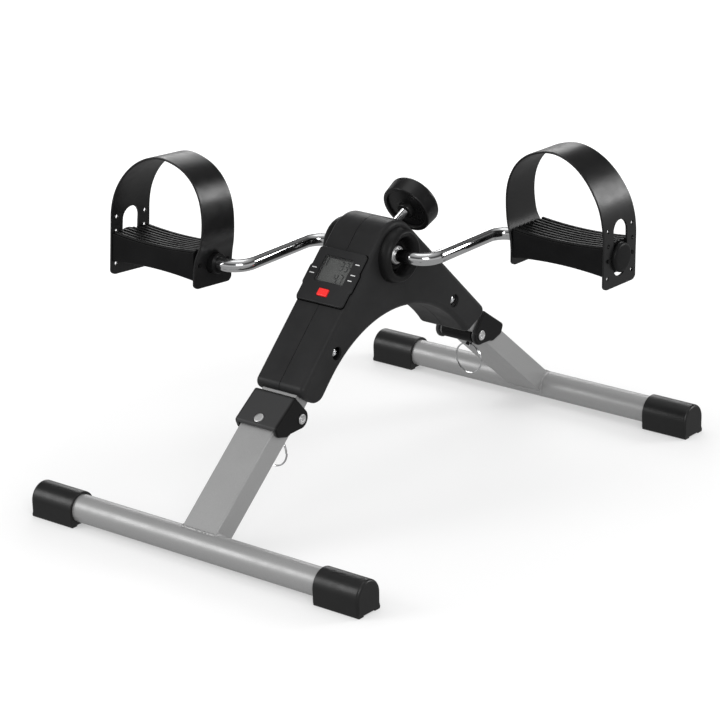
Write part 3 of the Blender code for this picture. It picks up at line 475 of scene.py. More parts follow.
def wire(points, radius, closed=False, sides=24):
    """A round bar along the points."""
    curve = bpy.data.curves.new("wire", "CURVE")
    curve.dimensions = "3D"
    curve.bevel_depth = radius
    curve.bevel_resolution = sides // 4
    curve.use_fill_caps = not closed
    spline = curve.splines.new("POLY")
    spline.points.add(len(points) - 1)
    for point, place in zip(spline.points, points):
        point.co = (*place, 1)
    spline.use_cyclic_u = closed
    obj = bpy.data.objects.new("wire", curve)
    bpy.context.scene.collection.objects.link(obj)
    bpy.context.view_layer.update()
    mesh = bpy.data.meshes.new_from_object(obj.evaluated_get(bpy.context.evaluated_depsgraph_get()))
    bpy.data.objects.remove(obj)
    return mesh


def softened(mesh, chosen, offset, segments=4):
    """Round the edges that chosen(edge) picks, among those sharper than 25 degrees."""
    bm = bmesh.new()
    bm.from_mesh(mesh)
    bmesh.ops.remove_doubles(bm, verts=bm.verts, dist=0.000002)
    bmesh.ops.dissolve_limit(bm, angle_limit=0.003, verts=bm.verts, edges=bm.edges)
    sharp = [e for e in bm.edges if e.is_manifold and e.calc_face_angle() > radians(25) and chosen(e)]
    bmesh.ops.bevel(bm, geom=sharp, offset=offset, segments=segments, profile=0.5, affect="EDGES",
                    clamp_overlap=False)
    return mesh_from(bm)


# Outlines

def arc(centre, radius, first, last, steps):
    """Points along an arc between two angles in degrees."""
    angles = [radians(first + (last - first) * i / steps) for i in range(steps + 1)]
    return [(centre[0] + radius * cos(a), centre[1] + radius * sin(a)) for a in angles]


def circle(centre, radius, steps=48):
    return arc(centre, radius, 0, 360, steps)[:-1]


def rounded(corners, steps=8):
    """Round each (a, b, radius) corner of a closed outline."""
    points = []
    count = len(corners)
    for i, (a, b, radius) in enumerate(corners):
        here = Vector((a, b))
        before = (Vector(corners[i - 1][:2]) - here).normalized()
        after = (Vector(corners[(i + 1) % count][:2]) - here).normalized()
        half = before.angle(after) / 2
        if radius == 0 or half > radians(89):
            points.append((a, b))
            continue
        centre = here + (before + after).normalized() * radius / sin(half)
        first = here + before * radius / (sin(half) / cos(half)) - centre
        last = here + after * radius / (sin(half) / cos(half)) - centre
        turn = first.angle_signed(last)
        for step in range(steps + 1):
            spoke = first.copy()
            spoke.rotate(Matrix.Rotation(-turn * step / steps, 2))
            points.append(tuple(centre + spoke))
    return points


def inset(points, distance):
    """Move each side of a closed, anticlockwise outline inwards."""
    result = []
    count = len(points)
    for i in range(count):
        here = Vector(points[i])
        before = (here - Vector(points[i - 1])).normalized()
        after = (Vector(points[(i + 1) % count]) - here).normalized()
        normal_a = Vector((-before.y, before.x))
        normal_b = Vector((-after.y, after.x))
        middle = (normal_a + normal_b).normalized()
        result.append(tuple(here + middle * distance / max(0.3, middle.dot(normal_a))))
    return result


def mirrored(points):
    return [(-a, b) for a, b in reversed(points)]


def slope_frame(side):
    """Local Y runs along the slope towards +Y, local Z out of it, from the crank's axis."""
    return Matrix(((1, 0, 0, 0), (0, cos(SLOPE), side * sin(SLOPE), 0),
                   (0, -side * sin(SLOPE), cos(SLOPE), HUB_Z), (0, 0, 0, 1)))


DISPLAY = slope_frame(FRONT) @ Matrix.Translation((0, -DISPLAY_S, 0))


def tension_line(low, high):
    """Two points on the tension screw's axis, at these distances from the crank's axis."""
    return [(0, r * sin(SCREW_LEAN), HUB_Z + r * cos(SCREW_LEAN)) for r in (low, high)]


# Housing

PIVOT_DOWN = PIVOT[0] * cos(SLOPE) + (HUB_Z - PIVOT[1]) * sin(SLOPE)


def housing_outline():
    """The housing's side view, anticlockwise seen from the right."""
    lean = 90 - SLOPE * 180 / pi
    dome = arc((0, HUB_Z), DOME_R, lean, 180 - lean, 40)
    first, last = [90 - asin(ARCH_REACH[side] / ARCH_R) * 180 / pi for side in (FRONT, REAR)]
    arch = arc((0, ARCH_Z), ARCH_R, 180 - first, last, 48)
    front_end = (-arch[0][0], arch[0][1])
    front = rounded([(*front_end, 0), FRONT_HEEL, HOUSING_TOE, (*dome[0], 0)], 8)[1:-1]
    rear = rounded([(*arch[-1], 0), REAR_HEEL, HOUSING_TOE, (*dome[0], 0)], 8)[1:-1]
    return dome + mirrored(front) + arch + rear


def housing_half(label, hand):
    """One moulded half, with a rounded outer edge and a fine chamfer along the seam."""
    low, high = sorted((hand * GAP / 2, hand * HOUSING_HALF))
    shell = extruded([housing_outline()], low, high)

    def is_outer(edge):
        return all(abs(v.co.x) > HOUSING_HALF - 0.00001 for v in edge.verts)

    def is_seam(edge):
        return all(abs(v.co.x) < GAP for v in edge.verts)

    shell = softened(shell, is_outer, ROUND_EDGE, 8)
    shell = softened(shell, is_seam, 0.0003, 2)
    low, high = sorted((-hand * 0.002, hand * (HOUSING_HALF - HOUSING_WALL)))
    tools = [extruded([inset(housing_outline(), HOUSING_WALL)], low, high),
             rod((hand * 0.020, 0, HUB_Z), (hand * 0.030, 0, HUB_Z), HUB_HOLE_R, 64),
             rod(*tension_line(0.020, 0.045), SCREW_R + 0.0017),
             box((*(side + 2 * GAP for side in TUB), 0.012), (0, 0, 0.030), DISPLAY)]
    clear = 0.0008
    for side in (FRONT, REAR):
        depth = STUB_OUTER - STUB_INNER + clear
        place = (0, side * (PIVOT_DOWN - 0.012), (STUB_OUTER + STUB_INNER) / 2)
        tools.append(box((2 * LEG_HALF + clear, 0.050, depth), place, slope_frame(side)))
        if hand > 0:
            hole = (side * SCREW_YZ[0], SCREW_YZ[1])
            tools.append(rod((0.020, *hole), (0.030, *hole), SCREW_HOLE_R))
    piece("shell_" + label, combined(shell, tools), "housing", "frame", "housing_" + label, angle=30)


def screw(label, side):
    """A pan-head screw with a cross recess, in its hole in the right half."""
    profile = [(0, 0.0252), (0.0016, 0.0251), (0.0031, 0.0247), (0.0041, 0.0240), (0.0046, 0.0231),
               (0.0046, 0.0220), (0.0020, 0.0220), (0.0020, -0.0215), (0, -0.0220)]
    start = Vector((0, side * SCREW_YZ[0], SCREW_YZ[1]))
    head = turned(profile, start, start + Vector((1, 0, 0)), 48)
    turn = Matrix.Translation(start) @ Matrix.Rotation(radians(28), 4, "X")
    cross = [box((0.0032, *arms), (0.0253, 0, 0), turn) for arms in ((0.0045, 0.0009), (0.0009, 0.0045))]
    piece("screw_" + label, combined(head, cross), "chrome", "frame", "housing_screw_" + label)
    washer = turned([(0.0060, 0.0221), (0.0060, 0.0217), (0.0022, 0.0217), (0.0022, 0.0221)], start,
                    start + Vector((1, 0, 0)), 36)
    piece("screw_seat_" + label, washer, "black", "frame")


def hub(label, hand):
    """The fat rounded ring round the crank, and the dark seal and the bright collar inside it."""
    middle = (RING_OUT + RING_IN) / 2
    half = (RING_OUT - RING_IN) / 2
    base = HOUSING_HALF + GAP
    foot = base + 0.0022
    crown = [(middle + half * cos(radians(a)), foot + (RING_FACE - foot) * sin(radians(a)))
             for a in range(0, 181, 9)]
    profile = crown + [(RING_IN, base), (RING_OUT, base)]
    centre = (0, 0, HUB_Z)
    outer = (hand, 0, HUB_Z)
    piece("ring_" + label, turned(profile, centre, outer, 96), "rim", "frame", "hub_ring_" + label)
    seal = [(0.0140, 0.0272), (0.0140, 0.0262), (0.0068, 0.0262), (0.0068, 0.0276), (0.0088, 0.0278),
            (0.0098, 0.0268), (0.0118, 0.0268), (0.0128, 0.0277)]
    piece("bearing_seal_" + label, turned(seal, centre, outer, 64), "black", "frame")
    collar = [(0.0080, 0.0298), (0.0085, 0.0292), (0.0085, 0.0282), (0.0063, 0.0282), (0.0063, 0.0302),
              (0.0075, 0.0302)]
    piece("spindle_nut_" + label, turned(collar, centre, outer, 48), "zinc", "crank")


# Display

def display_outline():
    """The face plate's outline: rounded corners, and a shallow bulge half way up each side."""
    half = DISPLAY_LENGTH / 2
    wide = HOUSING_HALF
    narrow = wide - 0.0013
    side = [(narrow, half, 0.0035), (narrow, 0.0085, 0.002), (wide, 0.0065, 0.002),
            (wide, -0.0100, 0.002), (narrow, -0.0120, 0.002), (narrow, -half, 0.0035)]
    return rounded([(-x, y, r) for x, y, r in side[::-1]] + side, 6)


def window_outline(shrink, radius, steps):
    """The window's outline, smaller by this much on every side."""
    wide = WINDOW[0] / 2 - shrink
    high = WINDOW[1] / 2 - shrink
    signs = ((-1, -1), (1, -1), (1, 1), (-1, 1))
    return rounded([(a * wide, WINDOW_UP + b * high, radius) for a, b in signs], steps)


def display():
    def block(size, low, y=0.0, soften=0.0):
        return box(size, (0, y, low + size[2] / 2), DISPLAY, soften)

    plate = extruded([display_outline()], PLATE_BACK, DISPLAY_FACE, DISPLAY)

    def is_face(edge):
        return all((DISPLAY.inverted() @ v.co).z > DISPLAY_FACE - 0.00001 for v in edge.verts)

    plate = softened(plate, is_face, 0.0007, 4)
    tub = block((*TUB, PLATE_BACK + 0.0005 - DISPLAY_BACK), DISPLAY_BACK)
    plate = combined(plate, [tub], "UNION")
    inside = [side - 2 * TUB_WALL for side in TUB]
    button_hole = [side + 3 * GAP for side in BUTTON]
    tools = [block((*inside, PLATE_BACK - DISPLAY_BACK - TUB_FLOOR), DISPLAY_BACK + TUB_FLOOR),
             extruded([window_outline(0, 0.0012, 4)], PLATE_BACK - 0.001, DISPLAY_FACE + 0.003, DISPLAY),
             block((*button_hole, 0.006), PLATE_BACK - 0.001, -BUTTON_DOWN, 0.0012)]
    piece("face_plate", combined(plate, tools), "display", "frame", "display_case", angle=30)
    # A near-black sheet just under the face plate, reaching a little past its edge, is a painted shadow
    # line round the plate
    shade_black = [[(x * scale, y * scale) for x, y in display_outline()] for scale in (1.028, 0.93)]
    piece("plate_edge_shadow", extruded(shade_black, PLATE_BACK - 0.0005, PLATE_BACK, DISPLAY), "shade_black", "frame")
    # A real gasket round the window, in the same near-black, which also paints the shade inside the
    # window's recess
    loops = [window_outline(GAP, 0.0010, 4), window_outline(0.0012, 0.0004, 3)]
    gasket = extruded(loops, PLATE_BACK - 0.0002, PLATE_BACK + 0.0005, DISPLAY)
    piece("window_gasket", gasket, "shade_black", "frame")


SEGMENTS = {"3": "abcdg", "4": "bcfg", "7": "abc"}

# Each digit's number and centre
DIGITS = (("3", 0.0040, 0.0122), ("3", 0.0094, 0.0122), ("4", 0.0034, -0.0003), ("7", 0.0090, -0.0003))

# A decimal point and two short bars, as (centre x, centre y, width, height)
LCD_MARKS = [(0.0063, -0.0046, 0.0009, 0.0009), (-0.0128, 0.0135, 0.0016, 0.0080),
             (0.0130, 0.0122, 0.0012, 0.0016)]


def digit(number, x, y):
    """The lit bars of one seven-segment digit, as (centre x, centre y, width, height)."""
    step = DIGIT_HIGH / 2
    places = {"a": (0, step, 1), "g": (0, 0, 1), "d": (0, -step, 1), "b": (1, step / 2, 0),
              "c": (1, -step / 2, 0), "f": (-1, step / 2, 0)}
    bars = []
    for key in SEGMENTS[number]:
        across, up, flat = places[key]
        level = (DIGIT_WIDE - DIGIT_BAR * 1.3, DIGIT_BAR)
        upright = (DIGIT_BAR, step - DIGIT_BAR * 0.5)
        bars.append((x + across * DIGIT_WIDE / 2, y + up, *(level if flat else upright)))
    return bars


def flat_bars(name, bars, thick, height, look):
    """Thin bars parallel to the face plate, at this height out of the slope."""
    bm = bmesh.new()
    for x, y, wide, high in bars:
        made = bmesh.ops.create_cube(bm, size=1)["verts"]
        bmesh.ops.scale(bm, vec=(wide, high, thick), verts=made)
        bmesh.ops.translate(bm, vec=(x, y, height), verts=made)
    piece(name, mesh_from(bm, DISPLAY), look, "frame")


def lcd_digits():
    bars = [bar for place in DIGITS for bar in digit(*place)]
    flat_bars("lcd_segments", bars + LCD_MARKS, 0.0001, 0.03086, "segment")


def printed_marks():
    """Plain dashes beside the window, where such displays name their readings."""
    half = WINDOW[0] / 2
    places = ((half + 0.0050, 0.0158, 0.0046), (half + 0.0056, 0.0052, 0.0050),
              (half + 0.0050, -0.0004, 0.0044), (-half - 0.0056, 0.0052, 0.0050),
              (-half - 0.0056, -0.0004, 0.0050))
    bars = [(x, y, length, 0.0009) for x, y, length in places]
    flat_bars("printed_marks", bars, 0.00006, DISPLAY_FACE + 0.00002, "mark")


def red_button():
    lip = 0.0008
    key = box((*BUTTON, BUTTON_THICK), (0, -BUTTON_DOWN, BUTTON_TOP - BUTTON_THICK / 2), DISPLAY, 0.0011, 5)
    flange = box((*(side + 2 * lip for side in BUTTON), lip), (0, -BUTTON_DOWN, 0.0304), DISPLAY)
    piece("button_key", combined(key, [flange], "UNION"), "red", "button", "reset_button")


# Crank and knob

def crank(label, hand):
    corners = [(GAP, 0, 0), (CRANK_X, 0, CRANK_BEND), (CRANK_X, CRANK_R, CRANK_BEND),
               (CRANK_END, CRANK_R, 0)]
    path = rounded([(hand * x, hand * y, r) for x, y, r in corners], 20)
    arm = wire([(x, y, HUB_Z) for x, y in path], ROD_R, sides=40)
    piece("arm_" + label, arm, "chrome", "crank", "crank_" + label)


def tension():
    """The threaded stem, and the knob with its dished face, rounded rim and boss."""
    start, end = tension_line(0, 1)
    root = SCREW_R - THREAD_DEEP
    thread = [(0, SCREW_TO), (root, SCREW_TO)]
    pitch = (SCREW_TO - SCREW_FROM) / THREAD_TURNS
    for i in range(THREAD_TURNS):
        high = SCREW_TO - i * pitch
        thread += [(SCREW_R, high - pitch * 0.35), (root, high - pitch * 0.85)]
    thread += [(root, SCREW_FROM), (0, SCREW_FROM)]
    piece("threaded_stem", turned(thread, start, end, 32), "chrome", "knob", "tension_screw", angle=20)
    face = KNOB_BACK + KNOB_THICK
    dished = face - 0.0006
    profile = [(0, dished), (KNOB_R - 0.009, dished), (KNOB_R - 0.007, face)]
    profile += arc((KNOB_R - 0.0042, face - 0.0042), 0.0042, 90, 8, 10)
    profile += arc((KNOB_R - 0.0022, KNOB_BACK + 0.0014), 0.0014, 0, -90, 6)
    inner = KNOB_R - 0.0046
    hollow = KNOB_BACK + 0.002
    boss = KNOB_BACK - 0.0025
    profile += [(inner, KNOB_BACK), (inner - 0.0004, KNOB_BACK + 0.0005), (inner - 0.0008, hollow),
                (0.0100, hollow), (0.0084, KNOB_BACK + 0.0014), (0.0078, KNOB_BACK - 0.0018),
                (0.0072, boss), (SCREW_R + 0.0004, boss), (SCREW_R + 0.0004, SCREW_TO + 0.0005),
                (0, SCREW_TO + 0.0005)]
    piece("knob_moulding", turned(profile, start, end, 120), "knob", "knob", "tension_knob")


# Pedals

def tilted(mesh, label, hand):
    """Turn a pedal's mesh about its spindle to the way it hangs at rest."""
    centre = Matrix.Translation((0, hand * CRANK_R, HUB_Z))
    mesh.transform(centre @ Matrix.Rotation(PEDAL_TILT[label], 4, "X") @ centre.inverted())
    return mesh


def smooth_path(points, steps):
    """A Catmull-Rom curve through the points."""
    ends = [points[0]] + points + [points[-1]]
    result = []
    for i in range(len(points) - 1):
        a, b, c, d = [Vector(p) for p in ends[i:i + 4]]
        for step in range(steps):
            t = step / steps
            result.append(0.5 * (2 * b + (c - a) * t + (2 * a - 5 * b + 4 * c - d) * t * t
                                 + (3 * b - a - 3 * c + d) * t ** 3))
    result.append(Vector(points[-1]))
    return result


def strap_section(half, thick):
    """Round the strap's cross-section, given as (across the foot, through the thickness)."""
    edge = 0.0007
    corners = [(half, thick, edge), (-half, thick, edge), (-half, -thick, edge), (half, -thick, edge)]
    return rounded(corners, 4)


def strap(label, hand):
    """A moulded hoop with rounded edges, whose ends hang over the pedal's two ends on pegs."""
    steps = 8
    path = smooth_path(STRAP_PATH, steps)
    edges = smooth_path(list(zip(STRAP_WIDTHS, STRAP_LEANS)), steps)
    bm = bmesh.new()
    rings = []
    for i, point in enumerate(path):
        ahead = path[min(i + 1, len(path) - 1)] - path[max(i - 1, 0)]
        normal = Vector((-ahead.y, ahead.x)).normalized()
        wide, lean = edges[i]
        ring = []
        for across, out in strap_section(wide / 2, STRAP_THICK / 2):
            spot = point + normal * out
            ring.append(bm.verts.new((hand * spot.x, hand * CRANK_R - lean + across, HUB_Z + spot.y)))
        rings.append(ring)
    count = len(rings[0])
    for ring, following in zip(rings, rings[1:]):
        for k in range(count):
            after = (k + 1) % count
            bm.faces.new((ring[k], ring[after], following[after], following[k]))
    bm.faces.new(rings[0])
    bm.faces.new(rings[-1])
    band = mesh_from(bm)

    mesh = tilted(combined(band, strap_cuts(hand)), label, hand)
    piece("strap_" + label, mesh, "strap", "pedal_" + label, "foot_strap_" + label, angle=40)


def strap_cuts(hand):
    """What is cut from the strap's two ends: round corners, the cap's slot, the bush's hole, peg holes."""
    y = hand * CRANK_R
    outer = hand * STRAP_PATH[-1][0]
    inner = hand * STRAP_PATH[0][0]
    half = STRAP_WIDTHS[0] / 2
    reach = 0.006
    around = half + 0.01
    tools = []
    for x, bottom in ((outer, STRAP_PATH[-1][1]), (inner, STRAP_PATH[0][1])):
        top = bottom + 2 * PLATE_CORNER
        below = bottom - 0.02
        edge = rounded([(half, top, 0), (half, bottom, PLATE_CORNER), (-half, bottom, PLATE_CORNER),
                        (-half, top, 0)], 8)
        waste = edge + [(-around, top), (-around, below), (around, below), (around, top)]
        tools.append(extruded([[(y + a, HUB_Z + b) for a, b in waste]], x - 0.004, x + 0.004))
    slot_half = NECK_R + 0.0012
    slot_low, slot_high = [HUB_Z + b for b in CAP_SLOT]
    loop = arc((y, slot_high), slot_half, 0, 180, 24) + arc((y, slot_low), slot_half, 180, 360, 24)
    tools.append(extruded([loop], outer - reach, outer + reach))
    tools.append(rod((inner - reach, y, HUB_Z), (inner + reach, y, HUB_Z), BUSH_R + 0.0005))
    for x, heights in ((outer, OUTER_PEG_HOLES), (inner, INNER_PEG_HOLES)):
        for height in heights:
            for dy in (-PEG_Y, PEG_Y):
                place = (y + dy, HUB_Z + height)
                tools.append(rod((x - reach, *place), (x + reach, *place), PEG_R + GAP, 24))
    return tools


def pedal_section(sag):
    """The pedal body's end view about its spindle, waisted by sag: a ribbed top and a plain underside."""
    top = PEDAL_UP - sag
    low = -top
    valley = top - RIB_DEEP
    first = PEDAL_HALF - 0.002
    edge = PEDAL_HALF - 0.0015
    pitch = 2 * first / (2 * RIBS - 1)
    corners = []
    for i in range(RIBS):
        y = first - 2 * i * pitch
        corners += [(y, top, 0.0006), (y - pitch, top, 0.0006)]
        if i < RIBS - 1:
            corners += [(y - pitch, valley, 0.0003), (y - 2 * pitch, valley, 0.0003)]
    corners += [(-edge, valley, 0.0004), (-PEDAL_HALF, valley, 0.0008), (-PEDAL_HALF, low, 0.0022),
                (PEDAL_HALF, low, 0.0022), (PEDAL_HALF, valley, 0.0008), (edge, valley, 0.0004)]
    return rounded(corners, 3)


def pedal(label, hand):
    """The ribbed body, waisted towards its middle, the end cap and the flanged bush."""
    y = hand * CRANK_R
    stations = 32
    bm = bmesh.new()
    rings = []
    for i in range(stations + 1):
        x = PEDAL_IN + (PEDAL_OUT - PEDAL_IN) * i / stations
        span = 2 * i / stations - 1
        section = pedal_section(PEDAL_SAG * (1 - span * span))
        rings.append([bm.verts.new((hand * x, y + a, HUB_Z + b)) for a, b in section])
    for ring, following in zip(rings, rings[1:]):
        for k in range(len(ring)):
            after = (k + 1) % len(ring)
            bm.faces.new((ring[k], ring[after], following[after], following[k]))
    bm.faces.new(rings[0])
    bm.faces.new(rings[-1])
    block = mesh_from(bm)

    def bore(first, last, radius):
        return rod((hand * first, y, HUB_Z), (hand * last, y, HUB_Z), radius, 40)

    tools = [bore(0.090, 0.195, ROD_R + 0.0006), bore(0.090, 0.1008, BUSH_R + GAP),
             bore(0.1815, 0.195, NECK_R + 0.0005)]
    block = combined(block, tools)
    pegs = []
    for dy in (-PEG_Y, PEG_Y):
        for first, last in PEG_SPANS:
            pegs.append(rod((hand * first, y + dy, HUB_Z), (hand * last, y + dy, HUB_Z), PEG_R, 20))
    block = tilted(combined(block, pegs, "UNION"), label, hand)
    body = "pedal_" + label
    piece("pedal_block_" + label, block, "pedal", body, "pedal_body_" + label, angle=40)
    start = (0, y, HUB_Z)
    end = (hand, y, HUB_Z)
    cap = [(0, 0.1968), (0.0100, 0.1968), (0.0118, 0.1965), (0.0130, 0.1957), (CAP_R, 0.1946),
           (CAP_R, 0.1931), (NECK_R, 0.1931), (NECK_R, 0.1866), (0, 0.1866)]
    piece("cap_" + label, turned(cap, start, end), "black", body, "pedal_cap_" + label)
    bush = [(BUSH_R, 0.1004), (BUSH_R, 0.0856), (BUSH_R - 0.0010, 0.0846), (ROD_R + GAP, 0.0846),
            (ROD_R + GAP, 0.1004)]
    piece("bush_" + label, turned(bush, start, end), "black", body, "pedal_bush_" + label)


# Knuckles

def plate_point(y):
    """A point at positive Y on the knuckle's outer face."""
    (y1, z1), (y2, z2) = KNUCKLE_CORNERS
    return y, z1 + (y - y1) * (z2 - z1) / (y2 - y1)


def lock_point(side, depth):
    """A point on the lock pin's axis, this deep under the knuckle's outer face."""
    y, z = plate_point(LOCK_Y)
    return Vector((0, side * (y - depth * sin(LEG_SLOPE)), z - depth * cos(LEG_SLOPE)))


def knuckle(label, side):
    """The joint cover with rounded outer edges, its riveted hinge pin and the lock pin's bright seat."""
    def is_outer(edge):
        return all(abs(v.co.x) > KNUCKLE_HALF - 0.00001 for v in edge.verts)

    cover = softened(nodes["knuckle_" + label].data, is_outer, 0.0016, 5)
    piece("cover_" + label, cover, "knuckle", "frame", "knuckle_" + label, angle=30)
    end = [(0, 0.0244), (0.0017, 0.0244), (0.0020, 0.0239), (0.0027, 0.0239), (0.0031, 0.0247),
           (0.0040, 0.0248), (0.0046, 0.0243), (0.0046, 0.0235), (PIN_R, 0.0235)]
    profile = end + [(r, -h) for r, h in end[::-1]]
    start = (0, side * PIVOT[0], PIVOT[1])
    piece("rivet_" + label, turned(profile, start, (1, start[1], start[2])), "zinc", "frame",
          "hinge_pin_" + label)
    (y1, z1), (y2, z2) = KNUCKLE_CORNERS
    seat = [(0, 0.0005), (0.0022, 0.0005), (0.0036, 0.0006), (0.0044, 0.0003), (0.0046, -0.0002),
            (0.0046, -0.0024), (0.0040, -0.0026), (0.0012, -0.0011), (0, -0.0011)]
    spot = lock_point(side, 0)
    seat = turned(seat, spot, spot + Vector((0, side * (z1 - z2), y2 - y1)))
    piece("lock_seat_" + label, seat, "zinc", "frame", "lock_keeper_" + label)


# Legs

def leg_point(side, down, out):
    """(Y, Z) so far down the leg from its pivot, and so far out of its slope from the frame's origin."""
    start = PIVOT[0] * cos(LEG_SLOPE) - PIVOT[1] * sin(LEG_SLOPE)
    y = out * sin(LEG_SLOPE) + (start + down) * cos(LEG_SLOPE)
    return side * y, out * cos(LEG_SLOPE) - (start + down) * sin(LEG_SLOPE)


def leg(label, side):
    body = "leg_" + label
    slope = Vector((0, side * cos(LEG_SLOPE), -sin(LEG_SLOPE)))

    def is_long(edge):
        run = edge.verts[1].co - edge.verts[0].co
        outside = all(abs(v.co.x) > LEG_HALF - 0.00001 for v in edge.verts)
        return outside and abs(run.normalized().dot(slope)) > 0.99 and run.length > 0.02

    tube = softened(nodes["leg_tube_" + label].data, is_long, 0.0014, 5)
    piece("tube_" + label, tube, "paint", body, "leg_tube_" + label, angle=30)
    half = BAR_LENGTH / 2 - 0.0028
    centre = (side * BAR_Y, BAR_Z)
    loops = [circle(centre, BAR_R, 96), circle(centre, BAR_R - TUBE_WALL, 96)]
    piece("bar_" + label, extruded(loops, -half, half), "paint", body, "foot_bar_" + label)
    weld(label, side, body)


def weld(label, side, body):
    """A slightly uneven bead where the leg meets the foot bar."""
    level = BAR_Y * sin(LEG_SLOPE) + BAR_Z * cos(LEG_SLOPE)
    reach = (BAR_Y - PIVOT[0]) * cos(LEG_SLOPE) + (PIVOT[1] - BAR_Z) * sin(LEG_SLOPE)
    corners = [(LEG_HALF, LEG_OUTER), (-LEG_HALF, LEG_OUTER), (-LEG_HALF, LEG_INNER), (LEG_HALF, LEG_INNER)]
    path = []
    for (x1, out1), (x2, out2) in zip(corners, corners[1:] + corners[:1]):
        steps = int(hypot(x2 - x1, out2 - out1) / BEAD_STEP)
        for i in range(steps):
            x = x1 + (x2 - x1) * i / steps
            out = out1 + (out2 - out1) * i / steps
            down = reach - sqrt(BAR_R ** 2 - (out - level) ** 2)
            wobble = noise.noise(Vector((x, out, side)) * 500) * BEAD_WOBBLE
            path.append((x, *leg_point(side, down + wobble, out + wobble)))
    piece("weld_" + label, wire(path, BEAD_R, True, 8), "paint", body)


def cap(label, side, end, hand):
    """A D-shaped end cap with a rounded nose, a foot ledge and a channel under it."""
    centre = (side * BAR_Y, BAR_Z)
    foot = [(-0.0150, 0.0052), (-0.0149, 0.0026), (-0.0143, 0.0023), (-0.0141, 0.0006), (-0.0136, 0),
            (0.0136, 0), (0.0141, 0.0006), (0.0143, 0.0023), (0.0149, 0.0026), (0.0150, 0.0052)]
    shape = arc(centre, CAP_WALL_R, 0, 180, 40) + [(side * BAR_Y + y, z) for y, z in foot]
    tip = BAR_LENGTH / 2
    low, high = sorted((hand * (tip - CAP_LENGTH), hand * tip))
    block = extruded([shape], low, high)

    ledge = 0.0024

    def is_nose(edge):
        return all(abs(v.co.x) > tip - 0.00001 and v.co.z > ledge for v in edge.verts)

    def is_mouth(edge):
        return all(abs(v.co.x) < tip - CAP_LENGTH + 0.00001 and v.co.z > ledge for v in edge.verts)

    block = softened(block, is_nose, 0.0026, 6)
    block = softened(block, is_mouth, 0.0006, 3)
    start = hand * (tip - CAP_LENGTH - 0.002)
    stop = hand * (tip - CAP_WALL)
    middle = hand * (tip - CAP_LENGTH / 2)
    tools = [rod((start, *centre), (stop, *centre), BAR_R + GAP, 96),
             box((CAP_LENGTH + 0.01, 0.0150, 0.0022), (middle, side * BAR_Y, 0))]
    name = f"{label}_{end}"
    piece("cap_" + name, combined(block, tools), "rubbery", "leg_" + label, "end_cap_" + name, angle=30)


def pull_ring(label, side):
    """A split ring: two turns of wire side by side."""
    hole = lock_point(side, LOCK_TAIL)
    centre = hole - Vector((0, 0, RING_MAJOR))
    steps = 160
    points = []
    for i in range(steps + 1):
        angle = 4 * pi * i / steps
        offset = RING_SPREAD * (i / steps - 0.5)
        points.append(centre + Vector((RING_MAJOR * cos(angle), offset, RING_MAJOR * sin(angle))))
    loop = wire(points, RING_WIRE, sides=12)
    piece("split_ring_" + label, loop, "chrome", "ring_" + label, "pull_ring_" + label)


for label, hand in HANDS:
    housing_half(label, hand)
    hub(label, hand)
    crank(label, hand)
    strap(label, hand)
    pedal(label, hand)
for label, side in SIDES:
    screw(label, side)
    knuckle(label, side)
    leg(label, side)
    pull_ring(label, side)
    for end, hand in HANDS:
        cap(label, side, end, hand)
display()
lcd_digits()
printed_marks()
red_button()
tension()


# Camera, light and floor

CAMERA_PLACE = (1.66251, -2.06571, 1.08703)
CAMERA_LENS = 157.19
CAMERA_AZIMUTH = 39.097
CAMERA_ELEVATION = 20.238
CAMERA_ROLL = -1.373


def camera():
    azimuth = radians(CAMERA_AZIMUTH)
    elevation = radians(CAMERA_ELEVATION)
    roll = radians(CAMERA_ROLL)
    back = Vector((sin(azimuth) * cos(elevation), -cos(azimuth) * cos(elevation), sin(elevation)))
    right = Vector((cos(azimuth), sin(azimuth), 0))
    up = back.cross(right)
    turned_right = cos(roll) * right + sin(roll) * up
    turned_up = cos(roll) * up - sin(roll) * right
    data = bpy.data.cameras.new("camera")
    data.lens = CAMERA_LENS
    data.clip_end = 50
    cam = bpy.data.objects.new("camera", data)
    rows = [(turned_right[i], turned_up[i], back[i]) for i in range(3)]
    cam.matrix_world = Matrix.Translation(CAMERA_PLACE) @ Matrix(rows).to_4x4()
    bpy.context.scene.collection.objects.link(cam)
    bpy.context.scene.camera = cam


# Each lamp's name, place, the height that it aims at on the Z axis, its size and its watts
LAMPS = (
    ("left", (-1.3, -1.5, 1.06), 0.1, (0.9, 0.9), 12),
    ("right", (1.5, 1.75, 1.0), 0.2, (0.8, 0.8), 17),
    ("front", (1.6, -1.4, 1.3), 0.1, (1.0, 1.0), 15),
    ("top", (-0.2, 0.3, 2.4), 0.1, (1.2, 1.2), 3.5),
    ("back", (-1.5, 1.9, 1.1), 0.1, (1.3, 0.8), 10),
)


def lamp(name, place, target, size, watts):
    data = bpy.data.lights.new(name, "AREA")
    data.shape = "RECTANGLE"
    data.size, data.size_y = size
    data.energy = watts
    obj = bpy.data.objects.new(name, data)
    obj.location = place
    obj.rotation_euler = (Vector(target) - Vector(place)).to_track_quat("-Z", "Y").to_euler()
    bpy.context.scene.collection.objects.link(obj)


# The studio's brightness in reflections, from the horizon at 0 to overhead at 1
STUDIO = ((0.0, 0.60), (0.12, 0.50), (0.32, 0.30), (0.42, 0.05), (0.62, 0.08), (1.0, 0.60))


